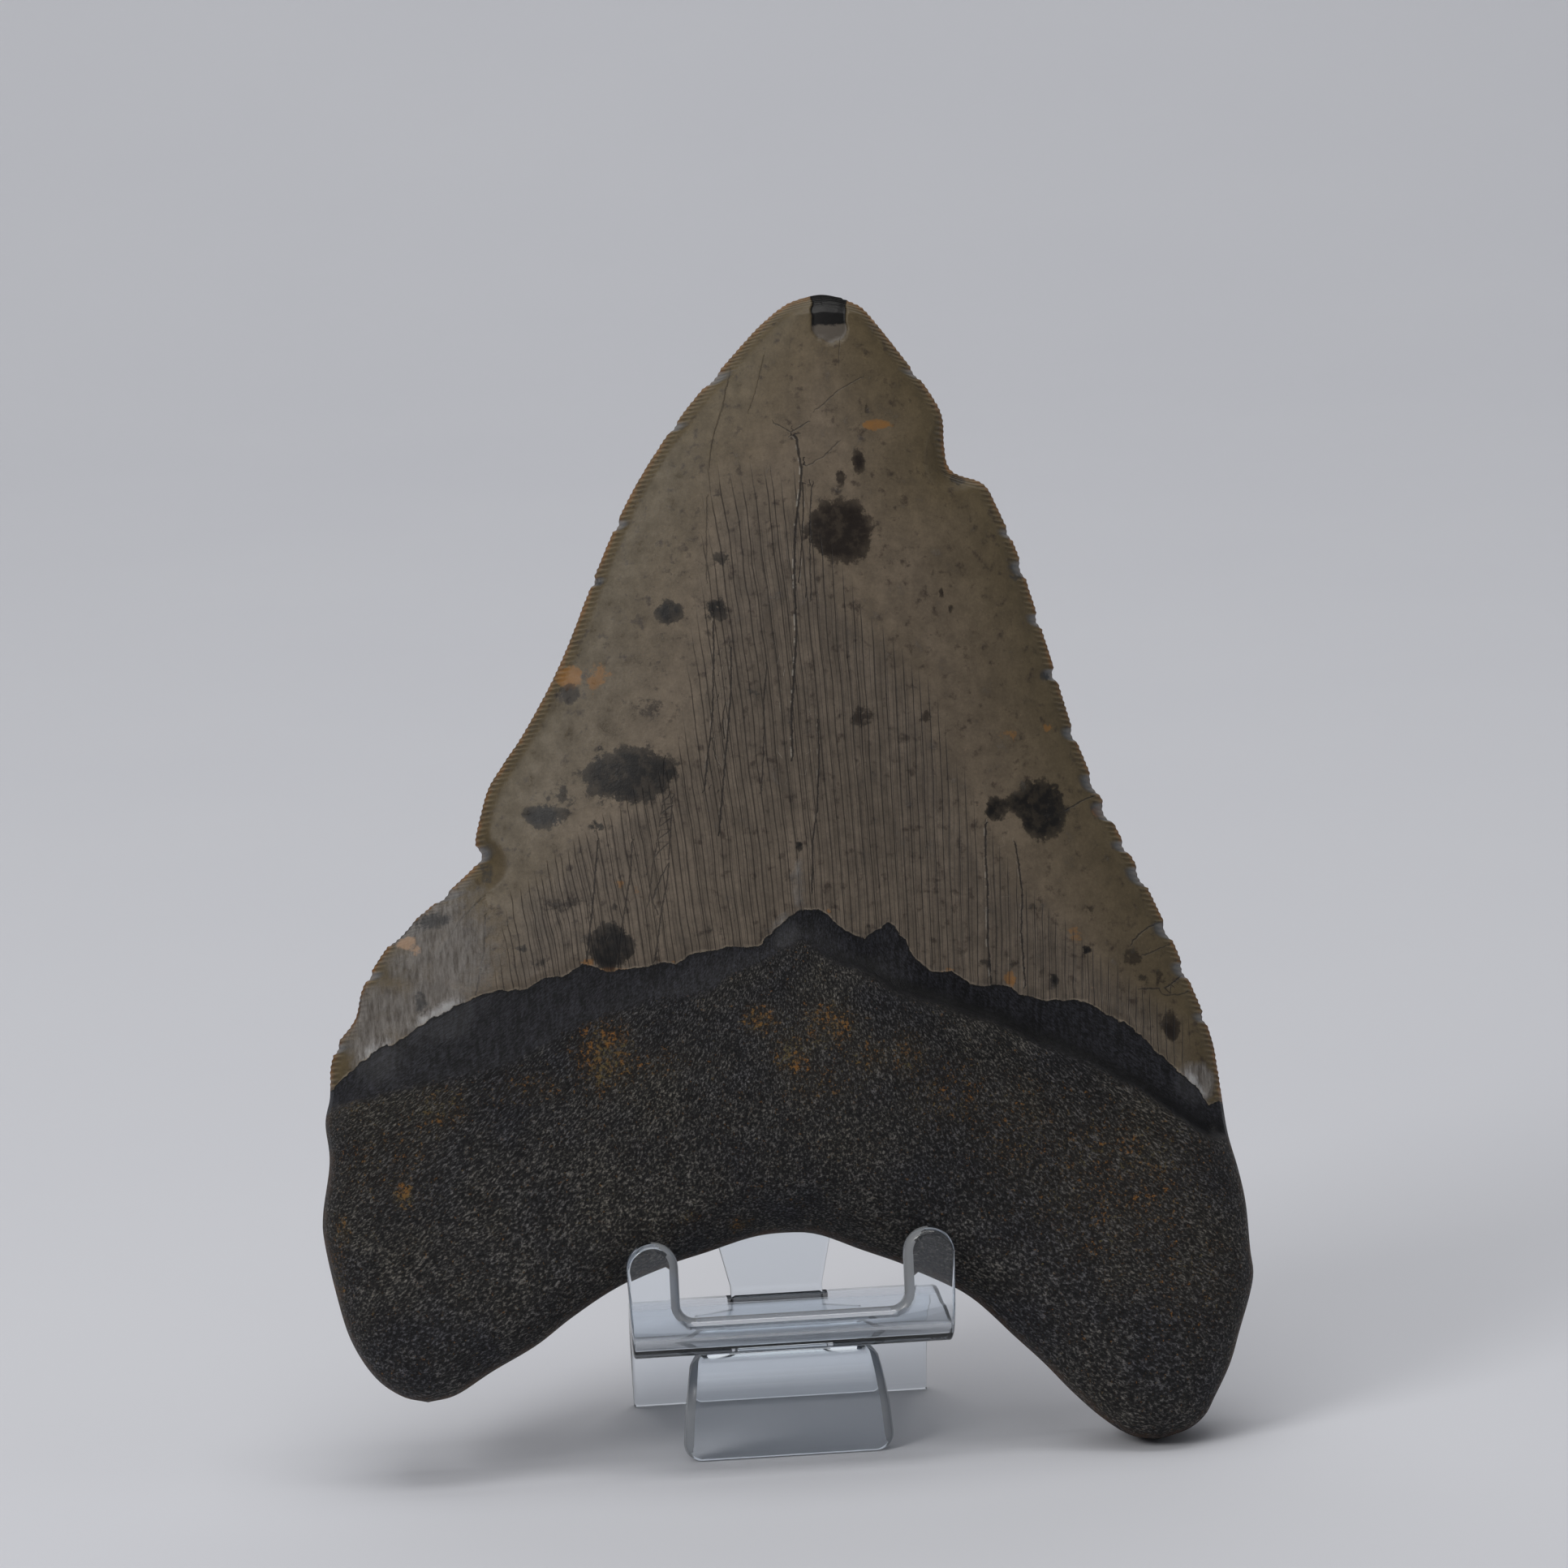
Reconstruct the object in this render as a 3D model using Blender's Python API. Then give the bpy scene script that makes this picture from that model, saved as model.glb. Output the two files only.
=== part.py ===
"""Fossil megalodon tooth leaning on a clear two-plate easel.

Metres, +Z up, front of the object towards -Y, origin under the middle of its bounding box.
Sizes below are in millimetres and angles in degrees, and MM turns them into metres.
"""
import math

import bmesh
import bpy
import numpy as np
from mathutils import Matrix, Vector

MM = 0.001

# ---------------------------------------------------------------- driving dimensions: tooth
TOOTH_LEAN = 12.0           # the tooth leans back against the easel
TOOTH_TURN = 2.0            # and stands turned in its own plane, right lobe lowest
TOOTH_FORWARD = 3.4         # foot of the tooth plane in front of the stand's zero line
TOOTH_SIDEWAYS = 0.2        # middle of the tooth, right of the stand's middle
TOOTH_LIFT = 2.05           # raises the turned tooth until the right lobe just clears the floor

# Outline in the tooth's own plane: (across, up). The right lobe's lowest point is at height 0.
LEFT_EDGE = [
    (-44.1, 6.7), (-47.2, 7.5), (-50.4, 9.9), (-53.1, 14.3), (-54.7, 19.7), (-56.0, 26.0),
    (-56.1, 29.4), (-55.2, 35.5), (-55.6, 40.1), (-55.0, 43.2), (-54.9, 46.6), (-53.9, 49.7),
    (-51.8, 52.5), (-50.7, 56.5), (-47.1, 61.9), (-43.9, 64.6), (-40.6, 67.3), (-37.5, 70.1),
    (-36.7, 71.4), (-37.1, 73.2), (-36.5, 76.1), (-35.4, 79.6), (-33.7, 82.3), (-30.9, 86.4),
    (-27.8, 91.8), (-25.2, 97.3), (-21.9, 105.4), (-18.1, 113.6), (-13.9, 120.4), (-9.7, 125.9),
    (-6.0, 129.9), (-2.2, 134.0), (1.0, 136.7), (3.3, 137.7),
]
RIGHT_EDGE = [
    (43.0, 0.0), (46.6, 1.1), (48.7, 2.7), (49.9, 4.8), (51.9, 8.8), (53.2, 12.9),
    (54.5, 17.0), (55.0, 19.7), (54.7, 22.4), (54.3, 27.9), (53.5, 32.0), (52.4, 36.1),
    (51.8, 40.1), (51.5, 42.9), (50.9, 46.9), (49.7, 51.0), (48.1, 55.1), (46.5, 59.2),
    (44.7, 63.3), (42.9, 67.3), (40.8, 71.4), (38.8, 75.5), (37.0, 79.6), (35.0, 85.0),
    (33.4, 90.5), (31.9, 95.9), (30.3, 101.4), (28.7, 106.8), (26.4, 112.2), (24.8, 115.0),
    (21.5, 116.3), (20.5, 117.7), (20.2, 120.3), (20.1, 123.1), (18.8, 125.9), (15.9, 129.9),
    (12.8, 134.0), (10.7, 136.5), (8.2, 137.7),
]
ROOT_ARCH = [
    (-44.1, 6.7), (-40.7, 7.5), (-36.3, 10.2), (-31.1, 13.1), (-26.8, 16.3), (-21.6, 19.6),
    (-16.1, 22.0), (-10.3, 23.8), (-4.7, 25.5), (-0.1, 25.9), (3.3, 25.5), (8.2, 23.6),
    (13.0, 21.8), (18.0, 19.4), (21.6, 17.1), (25.8, 13.0), (29.5, 9.5), (32.8, 6.0),
    (36.3, 2.8), (39.7, 0.6), (43.0, 0.0),
]
TIP_EDGE = [(3.3, 137.7), (5.8, 138.1), (8.2, 137.7)]

# Where the enamel ends on the shown face, and where the root's raised rim starts below it
ENAMEL_END = [
    (-54.8, 43.6), (-50.2, 47.8), (-43.7, 51.5), (-37.2, 54.8), (-30.2, 56.1), (-24.0, 58.7),
    (-17.3, 58.0), (-9.8, 59.6), (-3.0, 60.7), (1.2, 64.6), (4.0, 64.4), (9.3, 61.0),
    (12.8, 62.3), (15.8, 57.5), (22.0, 55.0), (31.5, 52.9), (38.5, 51.0), (43.7, 46.7),
    (50.2, 40.0),
]
ROOT_RIM = [
    (-54.8, 41.9), (-32.8, 46.9), (-27.7, 50.0), (-21.6, 52.6), (-15.5, 54.3), (-9.8, 54.7),
    (-6.8, 56.9), (-2.9, 58.6), (1.8, 61.0), (5.1, 58.3), (8.8, 57.1), (12.6, 54.7),
    (25.8, 51.0), (29.5, 48.6), (36.6, 44.9), (41.8, 42.1), (50.2, 36.3),
]
BACK_ENAMEL_END = [(-54.8, 44.0), (-30.0, 47.5), (0.0, 53.0), (28.0, 47.0), (51.0, 40.0)]

# Blade without its chips: height, left edge, right edge
BLADE_EDGES = [
    (40.0, -55.8, 52.0), (46.9, -55.0, 51.2), (56.5, -50.8, 47.8), (66.0, -43.2, 43.5),
    (75.5, -37.2, 38.9), (86.4, -30.9, 34.6), (95.9, -25.9, 32.0), (105.4, -22.0, 29.2),
    (113.6, -18.2, 26.1), (120.4, -14.3, 22.4), (129.9, -6.4, 16.3), (139.0, 2.8, 9.0),
]
# Depth of the blade's middle in front of and behind the plane of its edges, by height
BLADE_FRONT = [(40.0, 9.5), (60.0, 9.0), (80.0, 7.6), (100.0, 6.0), (120.0, 4.0), (138.0, 1.6)]
BLADE_BACK = [(40.0, 8.4), (60.0, 6.6), (80.0, 4.8), (100.0, 3.6), (120.0, 2.6), (138.0, 1.2)]
BLADE_FRONT_POWER = 0.9     # 1 is a parabola across, less is flatter with steeper edges
BLADE_BACK_POWER = 0.6
EDGE_SLOPE = 0.85           # the cutting edge's wedge: depth gained per millimetre inwards

ROOT_FRONT = 5.8            # depth of the root's lobes in front of the outline plane
ROOT_BOSS = 7.6             # the boss in the middle stands out this much further
ROOT_BOSS_AT = (0.5, 45.0)
ROOT_BOSS_REACH = (22.0, 19.0)
ROOT_BACK = 8.6             # nearly flat back of the lobes
ROOT_BACK_SWELL = 1.7       # and a little deeper between them
ROOT_BACK_REACH = 30.0
FRONT_ROUNDING = 8.0        # how far in from the outline the root's front gets its full depth
BACK_ROUNDING = 2.6         # and its back
BACK_HANG = 0.9             # the arch's back rim hangs this much lower than its front
BACK_HANG_REACH = (27.0, 8.0)    # sideways from the middle, and up from the rim
NECK_BLEND = 9.0            # the root turns into the blade over this height,
NECK_BLEND_START = 0.35     # with this share of the change already done at the enamel's end
NECK_GROOVE = 0.7           # the neck band lies this far under its surroundings
RIM_RAISE = 0.9             # and the root's rim stands this far proud
RIM_REACH = 5.0
RELIEF_MARGIN = 3.0         # groove and rim fade out this close to the outline

TOOTH_COLUMNS = 34
TOOTH_ROWS = 56
EDGE_CROWDING = 0.55        # how strongly the columns close up towards the edges

# ---------------------------------------------------------------- driving dimensions: stand
PLATE = 2.0                 # thickness of both plates
CRADLE_FRONT = -6.8         # middle of the prongs' thickness, from the stand's zero line
CRADLE_WIDTH = 38.9
CRADLE_REAR_WIDTH = 36.4
PRONG_WIDTH = 6.1
PRONG_TOP = 29.1
PRONG_STRAIGHT = 9.4        # upright length above the bend
PRONG_BEND = 4.5            # radius of the bend at the middle of the plate
SHELF_RISE = 3.4            # the shelf climbs backwards at this angle
HUMP_RADIUS = 16.0          # rear leg, a quarter circle down to the floor
LIP_DEPTH = 9.5             # from the prong tops down along the plate to the lip between them
LIP_CORNER = 1.8
EASEL_FRONT = 1.5           # middle of the front leg's thickness at the floor
LEG_STRAIGHT = 5.8
LEG_BEND = 6.0
TONGUE_RUN = 2.8            # level part that carries the cradle's shelf
NECK_BEND = 3.0
BACKREST_LEAN = 9.0
BACKREST_LENGTH = 40.0
FOOT_HALF = 12.6            # half widths of the easel plate from the floor to the top of the backrest
EASEL_ASIDE = -0.7          # the easel sits this far to the side of the cradle's middle
FOOT_CORNER = 2.0
SHIN_HALF = 12.3
LEG_HALF = 11.2
TONGUE_HALF = 9.5
NECK_HALF = 5.6
REST_HALF = 12.0
REST_CORNER = 9.0
NECK_LENGTH = 4.0           # parallel stretch of the neck, from its shoulders up
SHOULDER_DROP = 0.3         # the shoulders end just below the hump's underside
SLOT_PLAY = 0.5             # clearance round the neck in the slot
SLOT_ABOVE_BEND = 1.6       # middle of the slot, up the neck from its bend
SLOT_CUT_HEIGHT = 12.0      # the cutter reaches well past both faces of the hump


# ---------------------------------------------------------------- scene and materials
def clear_scene():
    for item in list(bpy.data.objects):
        bpy.data.objects.remove(item, do_unlink=True)


def principled(name, colour, roughness, metallic=0.0, transmission=0.0):
    material = bpy.data.materials.new(name)
    material.use_nodes = True
    shader = material.node_tree.nodes["Principled BSDF"]
    shader.inputs["Base Color"].default_value = (*colour, 1.0)
    shader.inputs["Roughness"].default_value = roughness
    shader.inputs["Metallic"].default_value = metallic
    shader.inputs["Transmission Weight"].default_value = transmission
    return material


def add_object(name, mesh, material):
    item = bpy.data.objects.new(name, mesh)
    bpy.context.scene.collection.objects.link(item)
    mesh.materials.append(material)
    return item


# ---------------------------------------------------------------- curves
def smooth_line(points, steps=8):
    """Catmull-Rom curve through hand-set points."""
    knots = [Vector(p) for p in points]
    knots = [knots[0] * 2 - knots[1]] + knots + [knots[-1] * 2 - knots[-2]]
    line = []
    for a, b, c, d in zip(knots, knots[1:], knots[2:], knots[3:]):
        for step in range(steps):
            t = step / steps
            line.append(0.5 * (2 * b + (c - a) * t + (2 * a - 5 * b + 4 * c - d) * t * t
                               + (3 * b - a - 3 * c + d) * t ** 3))
    line.append(knots[-2])
    return np.array([tuple(p) for p in line])


def along(line, fractions):
    """Points at the given fractions of a polyline's length."""
    lengths = np.concatenate([[0.0], np.cumsum(np.linalg.norm(np.diff(line, axis=0), axis=1))])
    at = np.asarray(fractions) * lengths[-1]
    return np.stack([np.interp(at, lengths, line[:, 0]), np.interp(at, lengths, line[:, 1])], axis=-1)


def by_table(table, at, column=1):
    rows = np.array(table)
    return np.interp(at, rows[:, 0], rows[:, column])


def ease(value):
    value = np.clip(value, 0.0, 1.0)
    return value * value * (3.0 - 2.0 * value)


# ---------------------------------------------------------------- tooth
LEFT, RIGHT = smooth_line(LEFT_EDGE), smooth_line(RIGHT_EDGE)
ARCH, TIP = smooth_line(ROOT_ARCH), smooth_line(TIP_EDGE)
OUTLINE = np.concatenate([LEFT, TIP, RIGHT[::-1], ARCH[::-1]])


def place_in_outline(s, t):
    """Blend the four edges into a point inside them: s across, t from the arch to the tip."""
    bottom, top = along(ARCH, s), along(TIP, s)
    left, right = along(LEFT, t), along(RIGHT, t)
    s, t = s[:, None], t[:, None]
    corners = ((1 - s) * (1 - t) * ARCH[0] + s * (1 - t) * ARCH[-1]
               + (1 - s) * t * TIP[0] + s * t * TIP[-1])
    return (1 - t) * bottom + t * top + (1 - s) * left + s * right - corners


def distance_to_outline(points):
    """Shortest distance from each point to the closed outline."""
    start, end = OUTLINE, np.roll(OUTLINE, -1, axis=0)
    run = end - start
    length2 = np.maximum((run ** 2).sum(axis=1), 1e-9)
    shortest = np.full(len(points), np.inf)
    for origin, step, size in zip(start, run, length2):
        offset = points - origin
        part = np.clip(offset @ step / size, 0.0, 1.0)
        shortest = np.minimum(shortest, np.linalg.norm(offset - part[:, None] * step, axis=1))
    return shortest


def rounded(distance, reach):
    """0 at the outline, 1 from reach inwards, with an elliptical edge."""
    return np.sqrt(1.0 - (1.0 - np.clip(distance / reach, 0.0, 1.0)) ** 2)


def blade_depth(across, up, edge, table, power):
    left, right = by_table(BLADE_EDGES, up), by_table(BLADE_EDGES, up, 2)
    offset = (2.0 * across - left - right) / (right - left)
    depth = by_table(table, up) * np.clip(1.0 - offset ** 2, 0.0, 1.0) ** power
    return np.minimum(depth, EDGE_SLOPE * edge)


def front_depth(across, up, edge):
    boss = np.exp(-((across - ROOT_BOSS_AT[0]) / ROOT_BOSS_REACH[0]) ** 2
                  - ((up - ROOT_BOSS_AT[1]) / ROOT_BOSS_REACH[1]) ** 2)
    root = (ROOT_FRONT + ROOT_BOSS * boss) * rounded(edge, FRONT_ROUNDING)
    blade = blade_depth(across, up, edge, BLADE_FRONT, BLADE_FRONT_POWER)
    enamel_end, rim = by_table(ENAMEL_END, across), by_table(ROOT_RIM, across)
    root_share = ease((enamel_end - up) / NECK_BLEND + NECK_BLEND_START)
    depth = blade + (root - blade) * root_share
    inside = np.clip(edge / RELIEF_MARGIN, 0.0, 1.0)
    in_band = np.clip((up - rim) / np.maximum(enamel_end - rim, 0.5), 0.0, 1.0)
    groove = NECK_GROOVE * np.sin(math.pi * in_band)
    below_rim = np.clip((rim - up) / RIM_REACH, 0.0, 1.0)
    rim_bulge = RIM_RAISE * np.sin(math.pi * np.sqrt(below_rim))
    return depth + (rim_bulge - groove) * inside


def back_depth(across, up, edge):
    swell = ROOT_BACK_SWELL * np.exp(-(across / ROOT_BACK_REACH) ** 4)
    root = (ROOT_BACK + swell) * rounded(edge, BACK_ROUNDING)
    blade = blade_depth(across, up, edge, BLADE_BACK, BLADE_BACK_POWER)
    root_share = ease((by_table(BACK_ENAMEL_END, across) - up) / NECK_BLEND + NECK_BLEND_START)
    return blade + (root - blade) * root_share


def tooth_mesh():
    """A front and a back sheet that share the outline, joined along it."""
    bm = bmesh.new()
    for side in ("front", "back"):
        sheet = bmesh.ops.create_grid(bm, x_segments=TOOTH_COLUMNS, y_segments=TOOTH_ROWS, size=0.5)
        verts = sheet["verts"]
        flat = np.array([v.co[:] for v in verts])
        s, t = flat[:, 0] + 0.5, flat[:, 1] + 0.5
        s = (1 - EDGE_CROWDING) * s + EDGE_CROWDING * (0.5 - 0.5 * np.cos(math.pi * s))
        points = place_in_outline(s, t)
        edge = distance_to_outline(points)
        on_edge = (s < 1e-6) | (s > 1 - 1e-6) | (t < 1e-6) | (t > 1 - 1e-6)
        edge[on_edge] = 0.0
        if side == "front":
            depth = -front_depth(points[:, 0], points[:, 1], edge)
        else:
            depth = back_depth(points[:, 0], points[:, 1], edge)
            hang = BACK_HANG * (depth / ROOT_BACK) * (1 - ease(edge / BACK_HANG_REACH[1])) * (1 - t)
            hang *= np.exp(-(points[:, 0] / BACK_HANG_REACH[0]) ** 4)
            points[:, 1] -= hang
            faces = {face for v in verts for face in v.link_faces}
            bmesh.ops.reverse_faces(bm, faces=list(faces))
        for v, point, d in zip(verts, points, depth):
            v.co = (point[0] * MM, d * MM, point[1] * MM)
    bmesh.ops.remove_doubles(bm, verts=bm.verts, dist=0.01 * MM)
    bmesh.ops.triangulate(bm, faces=bm.faces)
    mesh = bpy.data.meshes.new("tooth")
    bm.to_mesh(mesh)
    bm.free()
    mesh.shade_smooth()
    return mesh


def make_tooth():
    fossil = principled("fossil_enamel_and_root", (0.075, 0.058, 0.045), 0.35)
    tooth = add_object("tooth", tooth_mesh(), fossil)
    tooth.matrix_world = (
        Matrix.Translation(Vector((TOOTH_SIDEWAYS, -TOOTH_FORWARD, TOOTH_LIFT)) * MM)
        @ Matrix.Rotation(math.radians(-TOOTH_LEAN), 4, "X")
        @ Matrix.Rotation(math.radians(TOOTH_TURN), 4, "Y"))
    return tooth


# ---------------------------------------------------------------- bent plates
class Bend:
    """Side view of a bent plate, laid as straight runs and arcs from a start point."""

    def __init__(self, start, heading):
        self.stations = [0.0]
        self.points = [start]
        self.headings = [math.radians(heading)]

    def run(self, length, parts=1):
        return self._lay(length, 0.0, parts)

    def arc(self, radius, angle, parts):
        return self._lay(radius * math.radians(abs(angle)), math.radians(angle), parts)

    def _lay(self, length, turn, parts):
        for _ in range(parts):
            step, swing = length / parts, turn / parts
            chord = step if swing == 0.0 else step * math.sin(swing / 2) / (swing / 2)
            middle = self.headings[-1] + swing / 2
            y, z = self.points[-1]
            self.points.append((y + chord * math.cos(middle), z + chord * math.sin(middle)))
            self.stations.append(self.stations[-1] + step)
            self.headings.append(self.headings[-1] + swing)
        return self

    def at(self, length, height):
        """World (y, z) of a point at a length along the plate and a height above its middle."""
        y = np.interp(length, self.stations, [p[0] for p in self.points])
        z = np.interp(length, self.stations, [p[1] for p in self.points])
        heading = np.interp(length, self.stations, self.headings)
        return y - height * math.sin(heading), z + height * math.cos(heading)

    @property
    def length(self):
        return self.stations[-1]


def round_corner(centre, radius, start, end, parts=6):
    angles = [math.radians(start + (end - start) * i / parts) for i in range(parts + 1)]
    return [(centre[0] + radius * math.cos(a), centre[1] + radius * math.sin(a)) for a in angles]


def bent_plate(name, outline, bend, material, aside=0.0):
    """Thicken a flat outline, part it at every station and lay it along the bend."""
    bm = bmesh.new()
    corners = [bm.verts.new((x + aside, length, -PLATE / 2)) for x, length in outline]
    face = bm.faces.new(corners)
    raised = bmesh.ops.extrude_face_region(bm, geom=[face])["geom"]
    lifted = [v for v in raised if isinstance(v, bmesh.types.BMVert)]
    bmesh.ops.translate(bm, verts=lifted, vec=(0.0, 0.0, PLATE))
    for station in bend.stations[1:-1]:
        bmesh.ops.bisect_plane(bm, geom=bm.verts[:] + bm.edges[:] + bm.faces[:], dist=1e-4,
                               plane_co=(0.0, station, 0.0), plane_no=(0.0, 1.0, 0.0))
    for v in bm.verts:
        y, z = bend.at(v.co.y, v.co.z)
        v.co = (v.co.x * MM, y * MM, z * MM)
    bmesh.ops.triangulate(bm, faces=bm.faces)
    bmesh.ops.recalc_face_normals(bm, faces=bm.faces)
    mesh = bpy.data.meshes.new(name)
    bm.to_mesh(mesh)
    bm.free()
    return add_object(name, mesh, material)


def cradle_bend():
    bend = Bend((CRADLE_FRONT, PRONG_TOP), -90.0)
    bend.run(PRONG_STRAIGHT).arc(PRONG_BEND, 90.0 + SHELF_RISE, 8)
    rise = math.radians(SHELF_RISE)
    climb = HUMP_RADIUS * math.cos(rise) - bend.points[-1][1]
    bend.run(climb / math.sin(rise))
    return bend.arc(HUMP_RADIUS, -(90.0 + SHELF_RISE), 14)


def easel_bend():
    bend = Bend((EASEL_FRONT, 0.0), 90.0)
    bend.run(LEG_STRAIGHT).arc(LEG_BEND, -90.0, 10).run(TONGUE_RUN)
    return bend.arc(NECK_BEND, 90.0 - BACKREST_LEAN, 6).run(BACKREST_LENGTH)


def make_cradle(material):
    bend = cradle_bend()
    half, rear, tip = CRADLE_WIDTH / 2, CRADLE_REAR_WIDTH / 2, PRONG_WIDTH / 2
    inner = half - PRONG_WIDTH
    right = round_corner((half - tip, tip), tip, 0.0, -180.0, 10)
    right += round_corner((inner - LIP_CORNER, LIP_DEPTH - LIP_CORNER), LIP_CORNER, 0.0, 90.0, 4)
    left = [(-x, length) for x, length in reversed(right)]
    outline = [(rear, bend.length)] + right + left + [(-rear, bend.length)]
    return bent_plate("cradle_plate", outline, bend, material)


def make_easel(material):
    bend = easel_bend()
    leg_top = LEG_STRAIGHT + LEG_BEND * math.radians(60.0)
    tongue = LEG_STRAIGHT + LEG_BEND * math.radians(90.0)
    shoulder = bend.stations[-2] - SHOULDER_DROP
    neck = shoulder + NECK_LENGTH
    side = round_corner((FOOT_HALF - FOOT_CORNER, FOOT_CORNER), FOOT_CORNER, -90.0, 0.0, 4)
    side += [(SHIN_HALF, LEG_STRAIGHT), (LEG_HALF, leg_top), (TONGUE_HALF, tongue)]
    side += [(TONGUE_HALF, shoulder - 2 * SHOULDER_DROP), (NECK_HALF, shoulder), (NECK_HALF, neck)]
    side += round_corner((REST_HALF - REST_CORNER, bend.length - REST_CORNER), REST_CORNER, 0.0, 90.0, 8)
    outline = side + [(-x, length) for x, length in reversed(side)]
    return bent_plate("easel_plate", outline, bend, material, EASEL_ASIDE)


def cut_slot(cradle):
    """The slot through the hump that the easel's neck rises through."""
    bend = easel_bend()
    neck_middle = bend.stations[-2] + SLOT_ABOVE_BEND
    y, z = bend.at(neck_middle, 0.0)
    bm = bmesh.new()
    bmesh.ops.create_cube(bm, size=1.0)
    size = (2 * (NECK_HALF + SLOT_PLAY), PLATE + 2 * SLOT_PLAY, SLOT_CUT_HEIGHT)
    bmesh.ops.scale(bm, vec=Vector(size) * MM, verts=bm.verts)
    mesh = bpy.data.meshes.new("slot_cutter")
    bm.to_mesh(mesh)
    bm.free()
    cutter = bpy.data.objects.new("slot_cutter", mesh)
    bpy.context.scene.collection.objects.link(cutter)
    cutter.matrix_world = (Matrix.Translation(Vector((EASEL_ASIDE, y, z)) * MM)
                           @ Matrix.Rotation(math.radians(-BACKREST_LEAN), 4, "X"))
    cutter.hide_render = True
    cutter.display_type = "WIRE"
    cut = cradle.modifiers.new("slot", "BOOLEAN")
    cut.operation = "DIFFERENCE"
    cut.solver = "EXACT"
    cut.object = cutter
    return cutter


# ---------------------------------------------------------------- assembly
def centre_on_floor(items, followers):
    """Shift everything so that the origin lies under the middle of the bounding box."""
    corners = [item.matrix_world @ v.co for item in items for v in item.data.vertices]
    low = Vector(min(c[i] for c in corners) for i in range(3))
    high = Vector(max(c[i] for c in corners) for i in range(3))
    shift = Vector((-(low.x + high.x) / 2, -(low.y + high.y) / 2, -low.z))
    for item in items + followers:
        item.matrix_world = Matrix.Translation(shift) @ item.matrix_world
    return shift


def main():
    clear_scene()
    plastic = principled("clear_plastic", (0.9, 0.93, 0.95), 0.05, transmission=1.0)
    tooth = make_tooth()
    cradle = make_cradle(plastic)
    easel = make_easel(plastic.copy())
    cutter = cut_slot(cradle)
    shift = centre_on_floor([tooth, cradle, easel], [cutter])
    print("origin shift in mm:", [round(value / MM, 3) for value in shift])


main()
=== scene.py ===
# %% [markdown]
# # A fossil shark tooth on a clear easel
# The real object is three pieces: one very large fossil tooth, and two bent plates of clear plastic
# that hook into each other and hold it up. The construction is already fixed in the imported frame.
# This lesson dresses it: first the camera, the paper and the lights, then a fine mesh and a
# procedural finish for the tooth, and rolled rims and clear acrylic for the plates.

# %% Load the fixed frame
import math

import bmesh
import bpy
import numpy as np
from mathutils import Matrix, Vector, noise


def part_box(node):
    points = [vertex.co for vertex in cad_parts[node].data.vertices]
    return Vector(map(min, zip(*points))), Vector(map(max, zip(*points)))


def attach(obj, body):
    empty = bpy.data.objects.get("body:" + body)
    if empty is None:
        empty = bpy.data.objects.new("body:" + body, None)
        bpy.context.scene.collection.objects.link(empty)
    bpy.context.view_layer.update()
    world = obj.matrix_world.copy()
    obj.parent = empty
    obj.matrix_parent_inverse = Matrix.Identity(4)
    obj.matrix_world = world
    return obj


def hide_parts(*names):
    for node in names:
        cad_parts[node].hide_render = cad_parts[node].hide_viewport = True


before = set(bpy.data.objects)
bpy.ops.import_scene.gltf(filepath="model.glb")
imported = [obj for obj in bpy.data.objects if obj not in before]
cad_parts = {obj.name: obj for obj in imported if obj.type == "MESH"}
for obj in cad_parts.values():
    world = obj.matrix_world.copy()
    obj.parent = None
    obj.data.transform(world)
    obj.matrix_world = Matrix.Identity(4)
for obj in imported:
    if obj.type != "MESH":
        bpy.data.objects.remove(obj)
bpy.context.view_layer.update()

MM = 0.001

# %% [markdown]
# ## Where things stand
# The pieces are drawn from the same dimensions as the solids, so they need the same zero point.
# The cradle plate is symmetrical about the stand's middle and its front face lies a known distance
# in front of it, so the frame itself tells where the zero point went. The tooth leans back in its
# own tilted plane, with "across" and "up" measured in that plane.

# %% The stand's zero line and the tooth's plane
PLATE = 2.0                 # thickness of both plates, mm
CRADLE_FRONT = -6.8         # middle of the prongs' thickness, from the stand's zero line
TOOTH_LEAN, TOOTH_TURN = 12.0, 2.0
TOOTH_OFFSET = (0.2, -3.4, 2.05)

cradle_low, cradle_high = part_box("cradle_plate")
stand_zero = Vector(((cradle_low.x + cradle_high.x) / 2,
                     cradle_low.y - (CRADLE_FRONT - PLATE / 2) * MM, 0.0))
tooth_place = (
    Matrix.Translation(stand_zero + Vector(TOOTH_OFFSET) * MM)
    @ Matrix.Rotation(math.radians(-TOOTH_LEAN), 4, "X")
    @ Matrix.Rotation(math.radians(TOOTH_TURN), 4, "Y"))
print("stand zero, mm:", [round(v / MM, 2) for v in stand_zero])

# %% [markdown]
# ## Camera
# A long lens a good arm's length away keeps the tooth's sides nearly parallel. It looks slightly
# down, from a little to the left, and is rolled a few degrees, which is why the easel's level edges
# run uphill to the right.

# %% Camera
VIEW_AZIMUTH, VIEW_ELEVATION, VIEW_ROLL = -3.5, 10.0, -2.6
CAMERA_DISTANCE = 0.8
CAMERA_LENS = 153.4
AIM_HEIGHT = 79.4           # mm up the tooth's plane

aim = tooth_place @ Vector((0.0, 0.0, AIM_HEIGHT * MM))


def looking(azimuth, elevation):
    """Direction of a look from an azimuth and an elevation, in degrees."""
    a, e = math.radians(azimuth), math.radians(elevation)
    return Vector((-math.sin(a) * math.cos(e), math.cos(a) * math.cos(e), -math.sin(e)))


def new_object(name, data):
    """An object that shows these data, linked into the scene."""
    item = bpy.data.objects.new(name, data)
    bpy.context.scene.collection.objects.link(item)
    return item


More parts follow.
